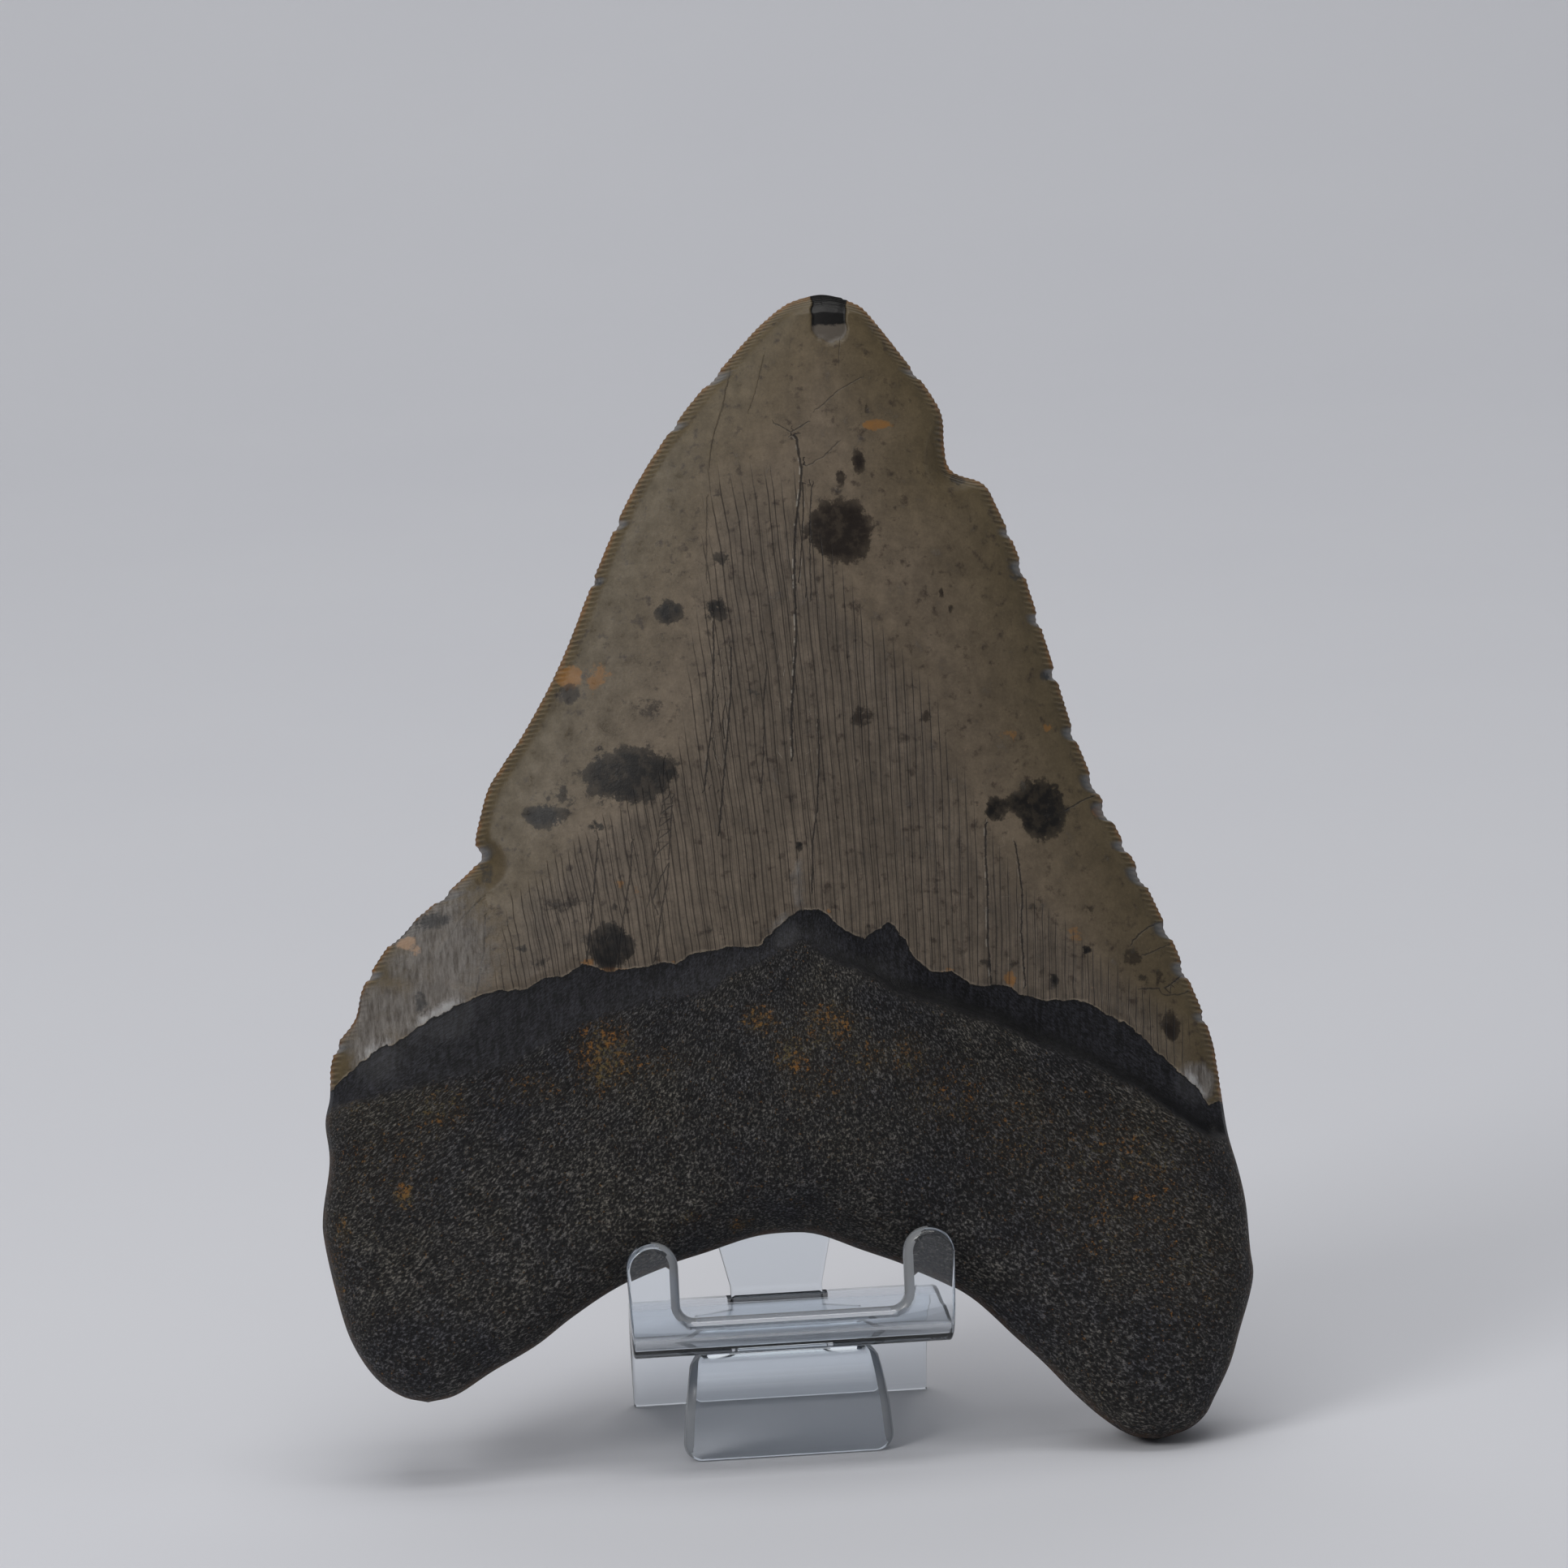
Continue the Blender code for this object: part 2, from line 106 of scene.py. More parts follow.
camera_data = bpy.data.cameras.new("camera")
camera_data.lens = CAMERA_LENS
camera_data.clip_start = 0.01
camera = new_object("camera", camera_data)
sight = looking(VIEW_AZIMUTH, VIEW_ELEVATION)
camera.location = aim - sight * CAMERA_DISTANCE
camera.rotation_mode = "QUATERNION"
camera.rotation_quaternion = (sight.to_track_quat("-Z", "Y")
                              @ Matrix.Rotation(math.radians(VIEW_ROLL), 3, "Z").to_quaternion())
bpy.context.scene.camera = camera
print("camera at, mm:", [round(v / MM) for v in camera.location])

# %% [markdown]
# ## Studio
# The table and the background are one sheet of pale paper that curves up far behind the object.
# Its profile is a line of points, and sweeping that line sideways gives the sheet. Light comes from
# soft boxes: one at the left models the relief and leaves the long faint shadow to the right, a weak
# one at the right opens that shadow, and a wide one hangs high in front. Two narrow strips straight
# above draw the bright edges, and the last one lights the far paper.

# %% Small tools for colours and nodes
def linear(hex_colour):
    """A #rrggbb colour as linear red, green, blue and alpha."""
    parts = [int(hex_colour[i:i + 2], 16) / 255 for i in (1, 3, 5)]
    return (*[c / 12.92 if c <= 0.04045 else ((c + 0.055) / 1.055) ** 2.4 for c in parts], 1.0)


def add(tree, kind, inputs=None, **settings):
    """Add a node with its settings; an input takes a value, a socket, or a node's first output."""
    node = tree.nodes.new("ShaderNode" + kind)
    for name, value in settings.items():
        setattr(node, name, value)
    for name, value in (inputs or {}).items():
        if isinstance(value, bpy.types.Node):
            value = value.outputs[0]
        if isinstance(value, bpy.types.NodeSocket):
            tree.links.new(value, node.inputs[name])
        else:
            node.inputs[name].default_value = value
    return node


def new_material(name):
    material = bpy.data.materials.new(name)
    material.use_nodes = True
    tree = material.node_tree
    return material, tree, tree.nodes["Principled BSDF"]


# %% Paper sweep
PAPER_FRONT, PAPER_BACK, PAPER_SIDE = -1.6, 1.0, 2.4
PAPER_CURVE, PAPER_HEIGHT = 0.8, 1.6


def new_mesh(name, bm):
    """A smoothly shaded mesh with what the bmesh holds."""
    mesh = bpy.data.meshes.new(name)
    bm.to_mesh(mesh)
    bm.free()
    mesh.shade_smooth()
    return mesh


bm = bmesh.new()
start = bm.verts.new((-PAPER_SIDE, PAPER_FRONT, 0.0))
turn = bm.verts.new((-PAPER_SIDE, PAPER_BACK, 0.0))
bm.edges.new((start, turn))
bmesh.ops.spin(bm, geom=[turn], cent=(0.0, PAPER_BACK, PAPER_CURVE), axis=(1.0, 0.0, 0.0),
               angle=math.pi / 2, steps=24)
last = max(bm.verts, key=lambda v: v.co.z)
top = bm.verts.new((-PAPER_SIDE, last.co.y, PAPER_HEIGHT))
bm.edges.new((last, top))
swept = bmesh.ops.extrude_edge_only(bm, edges=bm.edges[:])["geom"]
bmesh.ops.translate(bm, verts=[v for v in swept if isinstance(v, bmesh.types.BMVert)],
                    vec=(2 * PAPER_SIDE, 0.0, 0.0))
bmesh.ops.recalc_face_normals(bm, faces=bm.faces)
paper = new_object("paper_sweep", new_mesh("paper_sweep", bm))

# seamless background paper: matt and even, with the faintest cloudiness
paper_material, tree, shader = new_material("seamless_background_paper")
where = add(tree, "TexCoord").outputs["Object"]
cloud = add(tree, "TexNoise", {"Vector": where, "Scale": 9.0, "Detail": 3.0})
tone = add(tree, "Mix", {0: cloud.outputs[0], 6: linear("#d9dbe2"), 7: linear("#dddfe5")},
           data_type="RGBA")
tree.links.new(tone.outputs[2], shader.inputs["Base Color"])
shader.inputs["Roughness"].default_value = 0.9
paper.data.materials.append(paper_material)
print("paper faces:", len(paper.data.polygons))

# %% Lights
# name, what it points at, azimuth and elevation seen from there, distance, width, height (m), watts
FAR_PAPER = Vector((0.0, 1.3, 0.0))
SOFT_BOXES = [
    ("key_left", aim, -50.0, 34.0, 1.3, 0.45, 0.45, 4.8),
    ("fill_right", aim, 70.0, 24.0, 1.5, 0.5, 0.5, 0.9),
    ("front", aim, -10.0, 52.0, 1.5, 1.2, 0.9, 2.6),
    ("overhead", aim, 0.0, 80.0, 1.5, 1.2, 0.4, 6.2),
    ("overhead_back", aim, 180.0, 80.0, 1.5, 1.2, 0.4, 3.6),
    ("background", FAR_PAPER, 0.0, 89.0, 1.2, 2.2, 1.0, 5.6),
]
LIGHT_COLOUR = (1.0, 0.985, 0.965)


def soft_box(name, target, azimuth, elevation, distance, width, height, power):
    light = bpy.data.lights.new(name, "AREA")
    light.shape = "RECTANGLE"
    light.size, light.size_y = width, height
    light.energy = power
    light.color = LIGHT_COLOUR
    item = new_object(name, light)
    beam = looking(azimuth, elevation)
    item.location = target - beam * distance
    item.rotation_mode = "QUATERNION"
    item.rotation_quaternion = beam.to_track_quat("-Z", "Y")


for box in SOFT_BOXES:
    soft_box(*box)

world = bpy.data.worlds.new("room_light")
world.use_nodes = True
world.node_tree.nodes["Background"].inputs["Color"].default_value = linear("#c8ccd4")
world.node_tree.nodes["Background"].inputs["Strength"].default_value = 0.15
bpy.context.scene.world = world
bpy.context.scene.view_settings.view_transform = "Standard"

# %% [markdown]
# ## The tooth's shape
# A shark tooth is a flat blade over a two-lobed root. Its outline has four sides: the left and the
# right edge, the arch between the lobes and the short tip. A flat grid can be laid into such an
# outline by blending its four sides, and then each point is raised to the thickness that the tooth
# has there. Two such sheets, front and back, meet along the outline and close the solid. Sculpting
# could give the same, but here every line stays a named dimension.

# %% Outline of the tooth: (across, up) in mm
LEFT_EDGE = [
    (-44.1, 6.7), (-47.2, 7.5), (-50.4, 9.9), (-53.1, 14.3), (-54.7, 19.7), (-56.0, 26.0),
    (-56.1, 29.4), (-55.2, 35.5), (-55.6, 40.1), (-55.0, 43.2), (-54.9, 46.6), (-53.9, 49.7),
    (-51.8, 52.5), (-50.7, 56.5), (-47.1, 61.9), (-43.9, 64.6), (-40.6, 67.3), (-37.5, 70.1),
    (-36.7, 71.4), (-37.1, 73.2), (-36.5, 76.1), (-35.4, 79.6), (-33.7, 82.3), (-30.9, 86.4),
    (-27.8, 91.8), (-25.2, 97.3), (-21.9, 105.4), (-18.1, 113.6), (-13.9, 120.4), (-9.7, 125.9),
    (-6.0, 129.9), (-2.2, 134.0), (1.0, 136.7), (3.3, 137.7),
]
RIGHT_EDGE = [
    (43.0, 0.0), (46.6, 1.1), (48.7, 2.7), (49.9, 4.8), (51.9, 8.8), (53.2, 12.9),
    (54.5, 17.0), (55.0, 19.7), (54.7, 22.4), (54.3, 27.9), (53.5, 32.0), (52.4, 36.1),
    (51.8, 40.1), (51.5, 42.9), (50.9, 46.9), (49.7, 51.0), (48.1, 55.1), (46.5, 59.2),
    (44.7, 63.3), (42.9, 67.3), (40.8, 71.4), (38.8, 75.5), (37.0, 79.6), (35.0, 85.0),
    (33.4, 90.5), (31.9, 95.9), (30.3, 101.4), (28.7, 106.8), (26.4, 112.2), (24.8, 115.0),
    (21.5, 116.3), (20.5, 117.7), (20.2, 120.3), (20.1, 123.1), (18.8, 125.9), (15.9, 129.9),
    (12.8, 134.0), (10.7, 136.5), (8.2, 137.7),
]
ROOT_ARCH = [
    (-44.1, 6.7), (-40.7, 7.5), (-36.3, 10.2), (-31.1, 13.1), (-26.8, 16.3), (-21.6, 19.6),
    (-16.1, 22.0), (-10.3, 23.8), (-4.7, 25.5), (-0.1, 25.9), (3.3, 25.5), (8.2, 23.6),
    (13.0, 21.8), (18.0, 19.4), (21.6, 17.1), (25.8, 13.0), (29.5, 9.5), (32.8, 6.0),
    (36.3, 2.8), (39.7, 0.6), (43.0, 0.0),
]
TIP_EDGE = [(3.3, 137.7), (5.8, 138.1), (8.2, 137.7)]

# %% Smooth lines and distances to them
def smooth_line(points, steps=8):
    """Catmull-Rom curve through the given points."""
    knots = [Vector(p) for p in points]
    knots = [knots[0] * 2 - knots[1]] + knots + [knots[-1] * 2 - knots[-2]]
    line = []
    for a, b, c, d in zip(knots, knots[1:], knots[2:], knots[3:]):
        for step in range(steps):
            t = step / steps
            line.append(0.5 * (2 * b + (c - a) * t + (2 * a - 5 * b + 4 * c - d) * t * t
                               + (3 * b - a - 3 * c + d) * t ** 3))
    line.append(knots[-2])
    return np.array([tuple(p) for p in line])


def along(line, fractions):
    """Points at the given fractions of a polyline's length."""
    lengths = np.concatenate([[0.0], np.cumsum(np.linalg.norm(np.diff(line, axis=0), axis=1))])
    at = np.asarray(fractions) * lengths[-1]
    return np.stack([np.interp(at, lengths, line[:, 0]), np.interp(at, lengths, line[:, 1])], axis=-1)


def line_length(line):
    return np.linalg.norm(np.diff(line, axis=0), axis=1).sum()


def nearest(points, line, signed=False):
    """Shortest distance from each point to a polyline; signed gives one side a minus."""
    shortest, side = np.full(len(points), np.inf), np.ones(len(points))
    for start, end in zip(line, line[1:]):
        run = end - start
        offset = points - start
        part = np.clip(offset @ run / max(run @ run, 1e-9), 0.0, 1.0)
        distance = np.linalg.norm(offset - part[:, None] * run, axis=1)
        if signed:
            turn = np.sign(run[0] * offset[:, 1] - run[1] * offset[:, 0])
            side = np.where(distance < shortest, turn, side)
        shortest = np.minimum(shortest, distance)
    return shortest * side if signed else shortest


# %% The four sides, and places between them
LEFT, RIGHT = smooth_line(LEFT_EDGE), smooth_line(RIGHT_EDGE)
ARCH, TIP = smooth_line(ROOT_ARCH), smooth_line(TIP_EDGE)
print("cutting edges, mm:", round(line_length(LEFT), 1), round(line_length(RIGHT), 1))


def place_in_outline(s, t):
    """Blend the four sides into a point between them: s across, t from the arch to the tip."""
    bottom, top = along(ARCH, s), along(TIP, s)
    left, right = along(LEFT, t), along(RIGHT, t)
    s, t = s[:, None], t[:, None]
    corners = ((1 - s) * (1 - t) * ARCH[0] + s * (1 - t) * ARCH[-1]
               + (1 - s) * t * TIP[0] + s * t * TIP[-1])
    return (1 - t) * bottom + t * top + (1 - s) * left + s * right - corners


# %% [markdown]
# ## Where enamel, neck and root meet
# Three surfaces show on the tooth: the enamel of the blade, the bare neck below it, and the root.
# The enamel ends in a broken, jagged line, and the root starts at a low raised rim. Both lines are
# given as points and are used twice: for the relief of the mesh, and for the finish.

# %% Ends of the enamel and rim of the root: (across, up) in mm
ENAMEL_END = [
    (-54.7, 44.2), (-51.6, 47.0), (-48.9, 49.1), (-47.1, 49.3), (-44.4, 51.3), (-41.1, 53.1),
    (-38.2, 54.4), (-35.4, 55.5), (-31.2, 55.5), (-30.0, 56.6), (-26.8, 57.1), (-24.3, 58.4),
    (-21.9, 57.4), (-18.5, 57.6), (-16.6, 58.2), (-13.8, 58.1), (-12.2, 59.2), (-7.3, 60.0),
    (-4.2, 59.9), (-1.5, 62.3), (0.9, 64.0), (3.6, 64.2), (5.1, 62.5), (8.3, 60.4), (9.4, 60.9),
    (10.8, 62.3), (11.9, 62.3), (13.4, 60.6), (14.7, 57.6), (17.1, 56.4), (18.8, 56.7),
    (21.6, 54.6), (25.9, 54.7), (26.9, 53.5), (30.5, 52.8), (35.0, 52.7), (37.0, 51.3),
    (40.1, 49.7), (41.7, 48.3), (45.1, 44.9), (48.5, 42.1), (49.8, 39.8), (51.0, 40.2),
]
ROOT_RIM = [
    (-54.9, 41.8), (-44.7, 44.3), (-33.3, 46.7), (-28.1, 49.7), (-22.1, 52.3), (-19.1, 52.9),
    (-16.1, 54.0), (-10.5, 54.3), (-7.4, 56.6), (-3.5, 58.2), (1.3, 60.7), (4.4, 57.9),
    (8.2, 56.8), (11.9, 54.3), (20.2, 51.5), (25.2, 49.7), (29.1, 47.6), (31.9, 46.7),
    (36.2, 44.7), (41.4, 41.8), (49.0, 36.3), (51.2, 36.0),
]
BACK_ENAMEL_END = [(-54.8, 44.0), (-30.0, 47.5), (0.0, 53.0), (28.0, 47.0), (51.0, 40.0)]
BACK_NECK = 3.0             # the back has only a narrow neck

# %% Thickness of the blade and the root
BLADE_EDGES = [             # height, left edge, right edge, without the chips
    (40.0, -55.8, 52.0), (46.9, -55.0, 51.2), (56.5, -50.8, 47.8), (66.0, -43.2, 43.5),
    (75.5, -37.2, 38.9), (86.4, -30.9, 34.6), (95.9, -25.9, 32.0), (105.4, -22.0, 29.2),
    (113.6, -18.2, 26.1), (120.4, -14.3, 22.4), (129.9, -6.4, 16.3), (139.0, 2.8, 9.0),
]
BLADE_FRONT = [(40.0, 9.5), (60.0, 9.0), (80.0, 7.6), (100.0, 6.0), (120.0, 4.0), (138.0, 1.6)]
BLADE_BACK = [(40.0, 8.4), (60.0, 6.6), (80.0, 4.8), (100.0, 3.6), (120.0, 2.6), (138.0, 1.2)]
BLADE_FRONT_POWER, BLADE_BACK_POWER = 0.9, 0.6
EDGE_SLOPE = 0.85
ROOT_FRONT, ROOT_BOSS = 5.8, 7.6
ROOT_BOSS_AT, ROOT_BOSS_REACH = (0.5, 45.0), (22.0, 19.0)
ROOT_BACK, ROOT_BACK_SWELL, ROOT_BACK_REACH = 8.6, 1.7, 30.0
FRONT_ROUNDING, BACK_ROUNDING = 8.0, 2.6
BACK_HANG, BACK_HANG_REACH = 0.9, (27.0, 8.0)
NECK_BLEND, NECK_BLEND_START, NECK_GROOVE = 9.0, 0.35, 0.7
RIM_RAISE, RIM_REACH, RELIEF_MARGIN = 0.9, 5.0, 3.0
RIM_RIDGE, RIM_RIDGE_REACH = 0.16, 0.6
print("thickest at the boss, mm:", ROOT_FRONT + ROOT_BOSS + ROOT_BACK + ROOT_BACK_SWELL)

# %% Small tools for depths
def by_table(table, at, column=1):
    rows = np.array(table)
    return np.interp(at, rows[:, 0], rows[:, column])


def ease(value):
    value = np.clip(value, 0.0, 1.0)
    return value * value * (3.0 - 2.0 * value)


def rounded(distance, reach):
    """0 at the outline, 1 from reach inwards, with an elliptical edge."""
    return np.sqrt(1.0 - (1.0 - np.clip(distance / reach, 0.0, 1.0)) ** 2)


# %% Depths of the front and the back
def blade_depth(across, up, edge, table, power):
    left, right = by_table(BLADE_EDGES, up), by_table(BLADE_EDGES, up, 2)
    offset = (2.0 * across - left - right) / (right - left)
    depth = by_table(table, up) * np.clip(1.0 - offset ** 2, 0.0, 1.0) ** power
    return np.minimum(depth, EDGE_SLOPE * edge)


def front_depth(across, up, edge, enamel_end, rim):
    boss = np.exp(-((across - ROOT_BOSS_AT[0]) / ROOT_BOSS_REACH[0]) ** 2
                  - ((up - ROOT_BOSS_AT[1]) / ROOT_BOSS_REACH[1]) ** 2)
    root = (ROOT_FRONT + ROOT_BOSS * boss) * rounded(edge, FRONT_ROUNDING)
    blade = blade_depth(across, up, edge, BLADE_FRONT, BLADE_FRONT_POWER)
    depth = blade + (root - blade) * ease((enamel_end - up) / NECK_BLEND + NECK_BLEND_START)
    in_band = np.clip((up - rim) / np.maximum(enamel_end - rim, 0.5), 0.0, 1.0)
    below_rim = np.clip((rim - up) / RIM_REACH, 0.0, 1.0)
    right = ease((across + 4.0) / 16.0)
    relief = (RIM_RAISE * (0.3 + 0.7 * right)) * np.sin(math.pi * np.sqrt(below_rim))
    relief -= NECK_GROOVE * (0.3 + 1.5 * right) * np.sin(math.pi * in_band ** (1.0 - 0.4 * right))
    relief += RIM_RIDGE * np.exp(-((up - rim) / RIM_RIDGE_REACH) ** 2)
    return depth + relief * np.clip(edge / RELIEF_MARGIN, 0.0, 1.0)


def back_depth(across, up, edge, enamel_end):
    swell = ROOT_BACK_SWELL * np.exp(-(across / ROOT_BACK_REACH) ** 4)
    root = (ROOT_BACK + swell) * rounded(edge, BACK_ROUNDING)
    blade = blade_depth(across, up, edge, BLADE_BACK, BLADE_BACK_POWER)
    return blade + (root - blade) * ease((enamel_end - up) / NECK_BLEND + NECK_BLEND_START)


# %% [markdown]
# ## Fine relief
# The cutting edges carry saw teeth about 0.7 mm apart, worn and chipped here and there. Each one is
# a small step inwards that dies out in about a millimetre, so the blade behind stays smooth. The tip
# has a broken facet, the enamel stands a little proud of the neck, and the root is lumpy.

# %% Serrations, chips and lumps
SERRATION = 0.70            # distance from one saw tooth to the next, mm
SERRATION_DEPTH = 0.11
SERRATION_REACH = 1.1
CHIPS = [                   # side, height, half length along the edge, depth
    ("left", 62.6, 1.6, 0.5), ("left", 66.8, 0.8, 0.35), ("left", 71.6, 1.2, 0.35),
    ("left", 57.5, 0.7, 0.3), ("left", 104.0, 0.7, 0.3), ("left", 110.8, 0.8, 0.3),
    ("left", 122.5, 0.8, 0.25), ("left", 128.2, 1.1, 0.3), ("left", 49.0, 0.8, 0.3),
    ("right", 104.6, 1.2, 0.4), ("right", 98.4, 1.0, 0.35), ("right", 91.8, 0.9, 0.45),
    ("right", 84.6, 1.0, 0.4), ("right", 78.6, 1.4, 0.45), ("right", 75.2, 1.3, 0.6),
    ("right", 71.0, 0.9, 0.4), ("right", 67.4, 1.4, 0.5), ("right", 60.8, 1.2, 0.45),
    ("right", 56.0, 1.2, 0.4), ("right", 50.2, 0.8, 0.3), ("right", 108.9, 0.8, 0.25),
    ("right", 128.4, 0.8, 0.25),
]
CHIP_REACH = 2.2
ENAMEL_STEP = 0.28
TIP_FACET_AT, TIP_FACET_REACH, TIP_FACET_DEPTH = (6.7, 134.2), 2.3, 0.55
print("chips:", len(CHIPS))

# %% Wear of a cutting edge
# line of the edge, height where its enamel starts, turn from its tangent to the inside, noise seed
EDGES = {"left": (LEFT, 43.5, 1.0, 3.0), "right": (RIGHT, 40.5, -1.0, 8.0)}
TANGENT_REACH = 1.5


def lumps(points, size, seed, stretch=1.0):
    """Smooth noise between -1 and 1 with features about size mm wide."""
    return np.array([noise.noise(Vector((x / size, y / (size * stretch), seed))) for x, y in points])


def roughened(points, table):
    """Sum of noises, each given by its height, size, seed and stretch."""
    return sum(height * lumps(points, *rest) for height, *rest in table)


def edge_wear(points, edge, t, side):
    """Push points near one cutting edge inwards: its saw teeth and chips."""
    line, enamel_start, turn, seed = EDGES[side]
    length = line_length(line)
    at_edge = along(line, t)
    ahead = along(line, np.clip(t + TANGENT_REACH / length, 0.0, 1.0))
    behind = along(line, np.clip(t - TANGENT_REACH / length, 0.0, 1.0))
    tangent = ahead - behind
    tangent /= np.linalg.norm(tangent, axis=1)[:, None]
    inward = np.stack([tangent[:, 1] * turn, -tangent[:, 0] * turn], axis=1)
    arc = t * length
    wear = np.array([noise.noise(Vector((a / 5.0, seed, 0.0))) for a in arc])
    uneven = np.array([noise.noise(Vector((a / SERRATION * 0.9, 1.5, 4.0))) for a in arc])
    in_enamel = ease((at_edge[:, 1] - enamel_start) / 2.0)
    saw = 0.5 - 0.5 * np.cos(2 * math.pi * arc / SERRATION + 1.2 * wear)
    saw = saw * np.clip(0.85 + 0.7 * wear, 0.25, 1.0) + 0.5 * np.clip(uneven, 0.0, 1.0)
    saw = saw * in_enamel * np.clip(1.0 - edge / SERRATION_REACH, 0.0, 1.0)
    chip = np.zeros(len(points))
    for chip_side, height, reach, depth in CHIPS:
        if chip_side == side:
            bite = np.clip(1.0 - ((at_edge[:, 1] - height) / reach) ** 2, 0.0, 1.0)
            chip = np.maximum(chip, depth * bite)
    chip_near = np.clip(1.0 - edge / CHIP_REACH, 0.0, 1.0)
    return points + inward * (SERRATION_DEPTH * saw + chip * chip_near)[:, None], arc, chip * chip_near


# %% [markdown]
# ## Marks in the surface
# The finish needs to know where the enamel is stained, where rust sits in the root and where the
# long cracks run. Each mark is given by its place in the tooth's plane, and the mesh carries it to the
# material as a named value on its points. The material then breaks the soft values up with noise,
# which gives the ragged edges of real stains. A crack is stored as its signed side distance, because
# that value stays exact between points and so draws a hairline finer than the mesh.

# %% Stains on the enamel: (across, up, half width, half height, strength)
BLACK_STAINS = [
    (-13.5, 100.0, 1.9, 1.7, 0.80), (-8.0, 100.2, 1.6, 1.7, 0.75), (-7.0, 106.3, 1.4, 1.2, 0.60),
    (-18.9, 80.6, 5.3, 3.5, 0.95), (-15.0, 81.2, 2.4, 1.9, 0.80), (-28.8, 76.0, 2.5, 1.6, 0.90),
    (-27.0, 78.4, 3.3, 2.7, 0.45), (-22.8, 74.6, 1.1, 1.1, 0.70), (-17.7, 72.7, 1.6, 1.0, 0.45),
    (-20.5, 64.9, 0.5, 0.6, 1.00), (-32.0, 60.4, 0.5, 0.7, 1.00), (-29.9, 58.4, 1.9, 0.9, 0.50),
    (-21.4, 60.3, 2.6, 2.6, 1.10), (30.5, 75.6, 2.7, 3.3, 1.20), (24.9, 75.6, 1.7, 1.6, 0.85),
    (27.3, 76.4, 1.9, 1.2, 0.80), (21.7, 115.7, 1.0, 0.9, 0.70), (31.4, 55.2, 0.6, 0.7, 1.00),
    (35.4, 58.7, 0.8, 0.7, 0.80), (42.2, 54.9, 1.2, 1.0, 0.50), (22.8, 57.4, 1.7, 0.8, 0.50),
    (-3.4, 88.5, 5.8, 5.8, 0.25), (7.7, 80.7, 5.8, 5.8, 0.20), (1.3, 71.6, 0.4, 0.7, 0.90),
    (-8.9, 61.7, 1.2, 1.4, 0.40), (9.4, 62.7, 1.0, 1.4, 0.50), (-4.5, 61.2, 0.8, 1.2, 0.35),
    (21.0, 118.6, 0.7, 1.2, 0.80),
]
BROWN_STAINS = [
    (7.1, 109.2, 3.7, 3.6, 1.15), (9.5, 117.5, 0.8, 1.6, 0.80), (7.4, 115.8, 0.8, 1.4, 0.70),
    (-21.6, 96.4, 1.2, 1.0, 0.50), (-25.5, 90.6, 1.5, 1.4, 0.70), (-16.4, 88.8, 2.3, 1.2, 0.50),
    (-26.2, 65.2, 3.9, 1.4, 0.40), (-20.4, 69.1, 2.5, 1.0, 0.35), (5.5, 87.5, 1.6, 1.4, 0.55),
    (9.0, 87.0, 1.7, 1.6, 0.55), (16.7, 86.9, 0.9, 0.9, 0.60), (19.1, 101.7, 0.4, 0.8, 0.70),
    (20.1, 99.8, 0.4, 0.8, 0.60), (23.7, 85.7, 0.6, 1.4, 0.40), (35.9, 63.3, 0.8, 0.8, 0.50),
    (41.1, 57.5, 1.4, 1.2, 0.55), (45.6, 49.2, 1.2, 2.1, 0.80), (26.7, 57.4, 1.7, 0.9, 0.45),
    (29.2, 63.3, 1.2, 2.5, 0.35), (44.5, 55.1, 1.2, 1.2, 0.50), (10.7, 124.1, 0.3, 0.9, 0.50),
    (-15.0, 92.6, 2.3, 2.9, 0.30), (-16.1, 59.3, 1.2, 1.0, 0.50), (-4.5, 122.5, 0.9, 1.2, 0.30),
]
ENAMEL_RUST = [
    (-25.4, 92.7, 1.7, 1.4, 0.90), (-22.4, 92.5, 2.5, 1.9, 0.50), (11.9, 122.0, 2.1, 0.6, 0.90),
    (26.9, 84.7, 1.4, 1.0, 0.40), (-13.6, 79.8, 1.4, 2.5, 0.30), (-20.2, 67.9, 0.6, 0.6, 0.60),
    (-18.0, 66.6, 0.8, 1.4, 0.50), (-24.1, 58.5, 0.8, 0.5, 0.90), (-21.2, 57.4, 2.9, 0.4, 1.00),
    (4.0, 63.9, 0.8, 0.6, 0.70), (26.0, 55.3, 0.8, 1.0, 0.90), (-14.7, 58.3, 1.4, 0.6, 0.50),
    (18.4, 56.6, 1.2, 0.5, 0.70), (20.8, 117.4, 0.6, 1.2, 0.90), (34.1, 60.4, 1.9, 1.6, 0.35),
    (37.3, 80.0, 0.8, 1.2, 0.70), (38.1, 75.3, 1.2, 0.8, 0.90), (31.9, 85.3, 1.0, 0.8, 0.50),
]

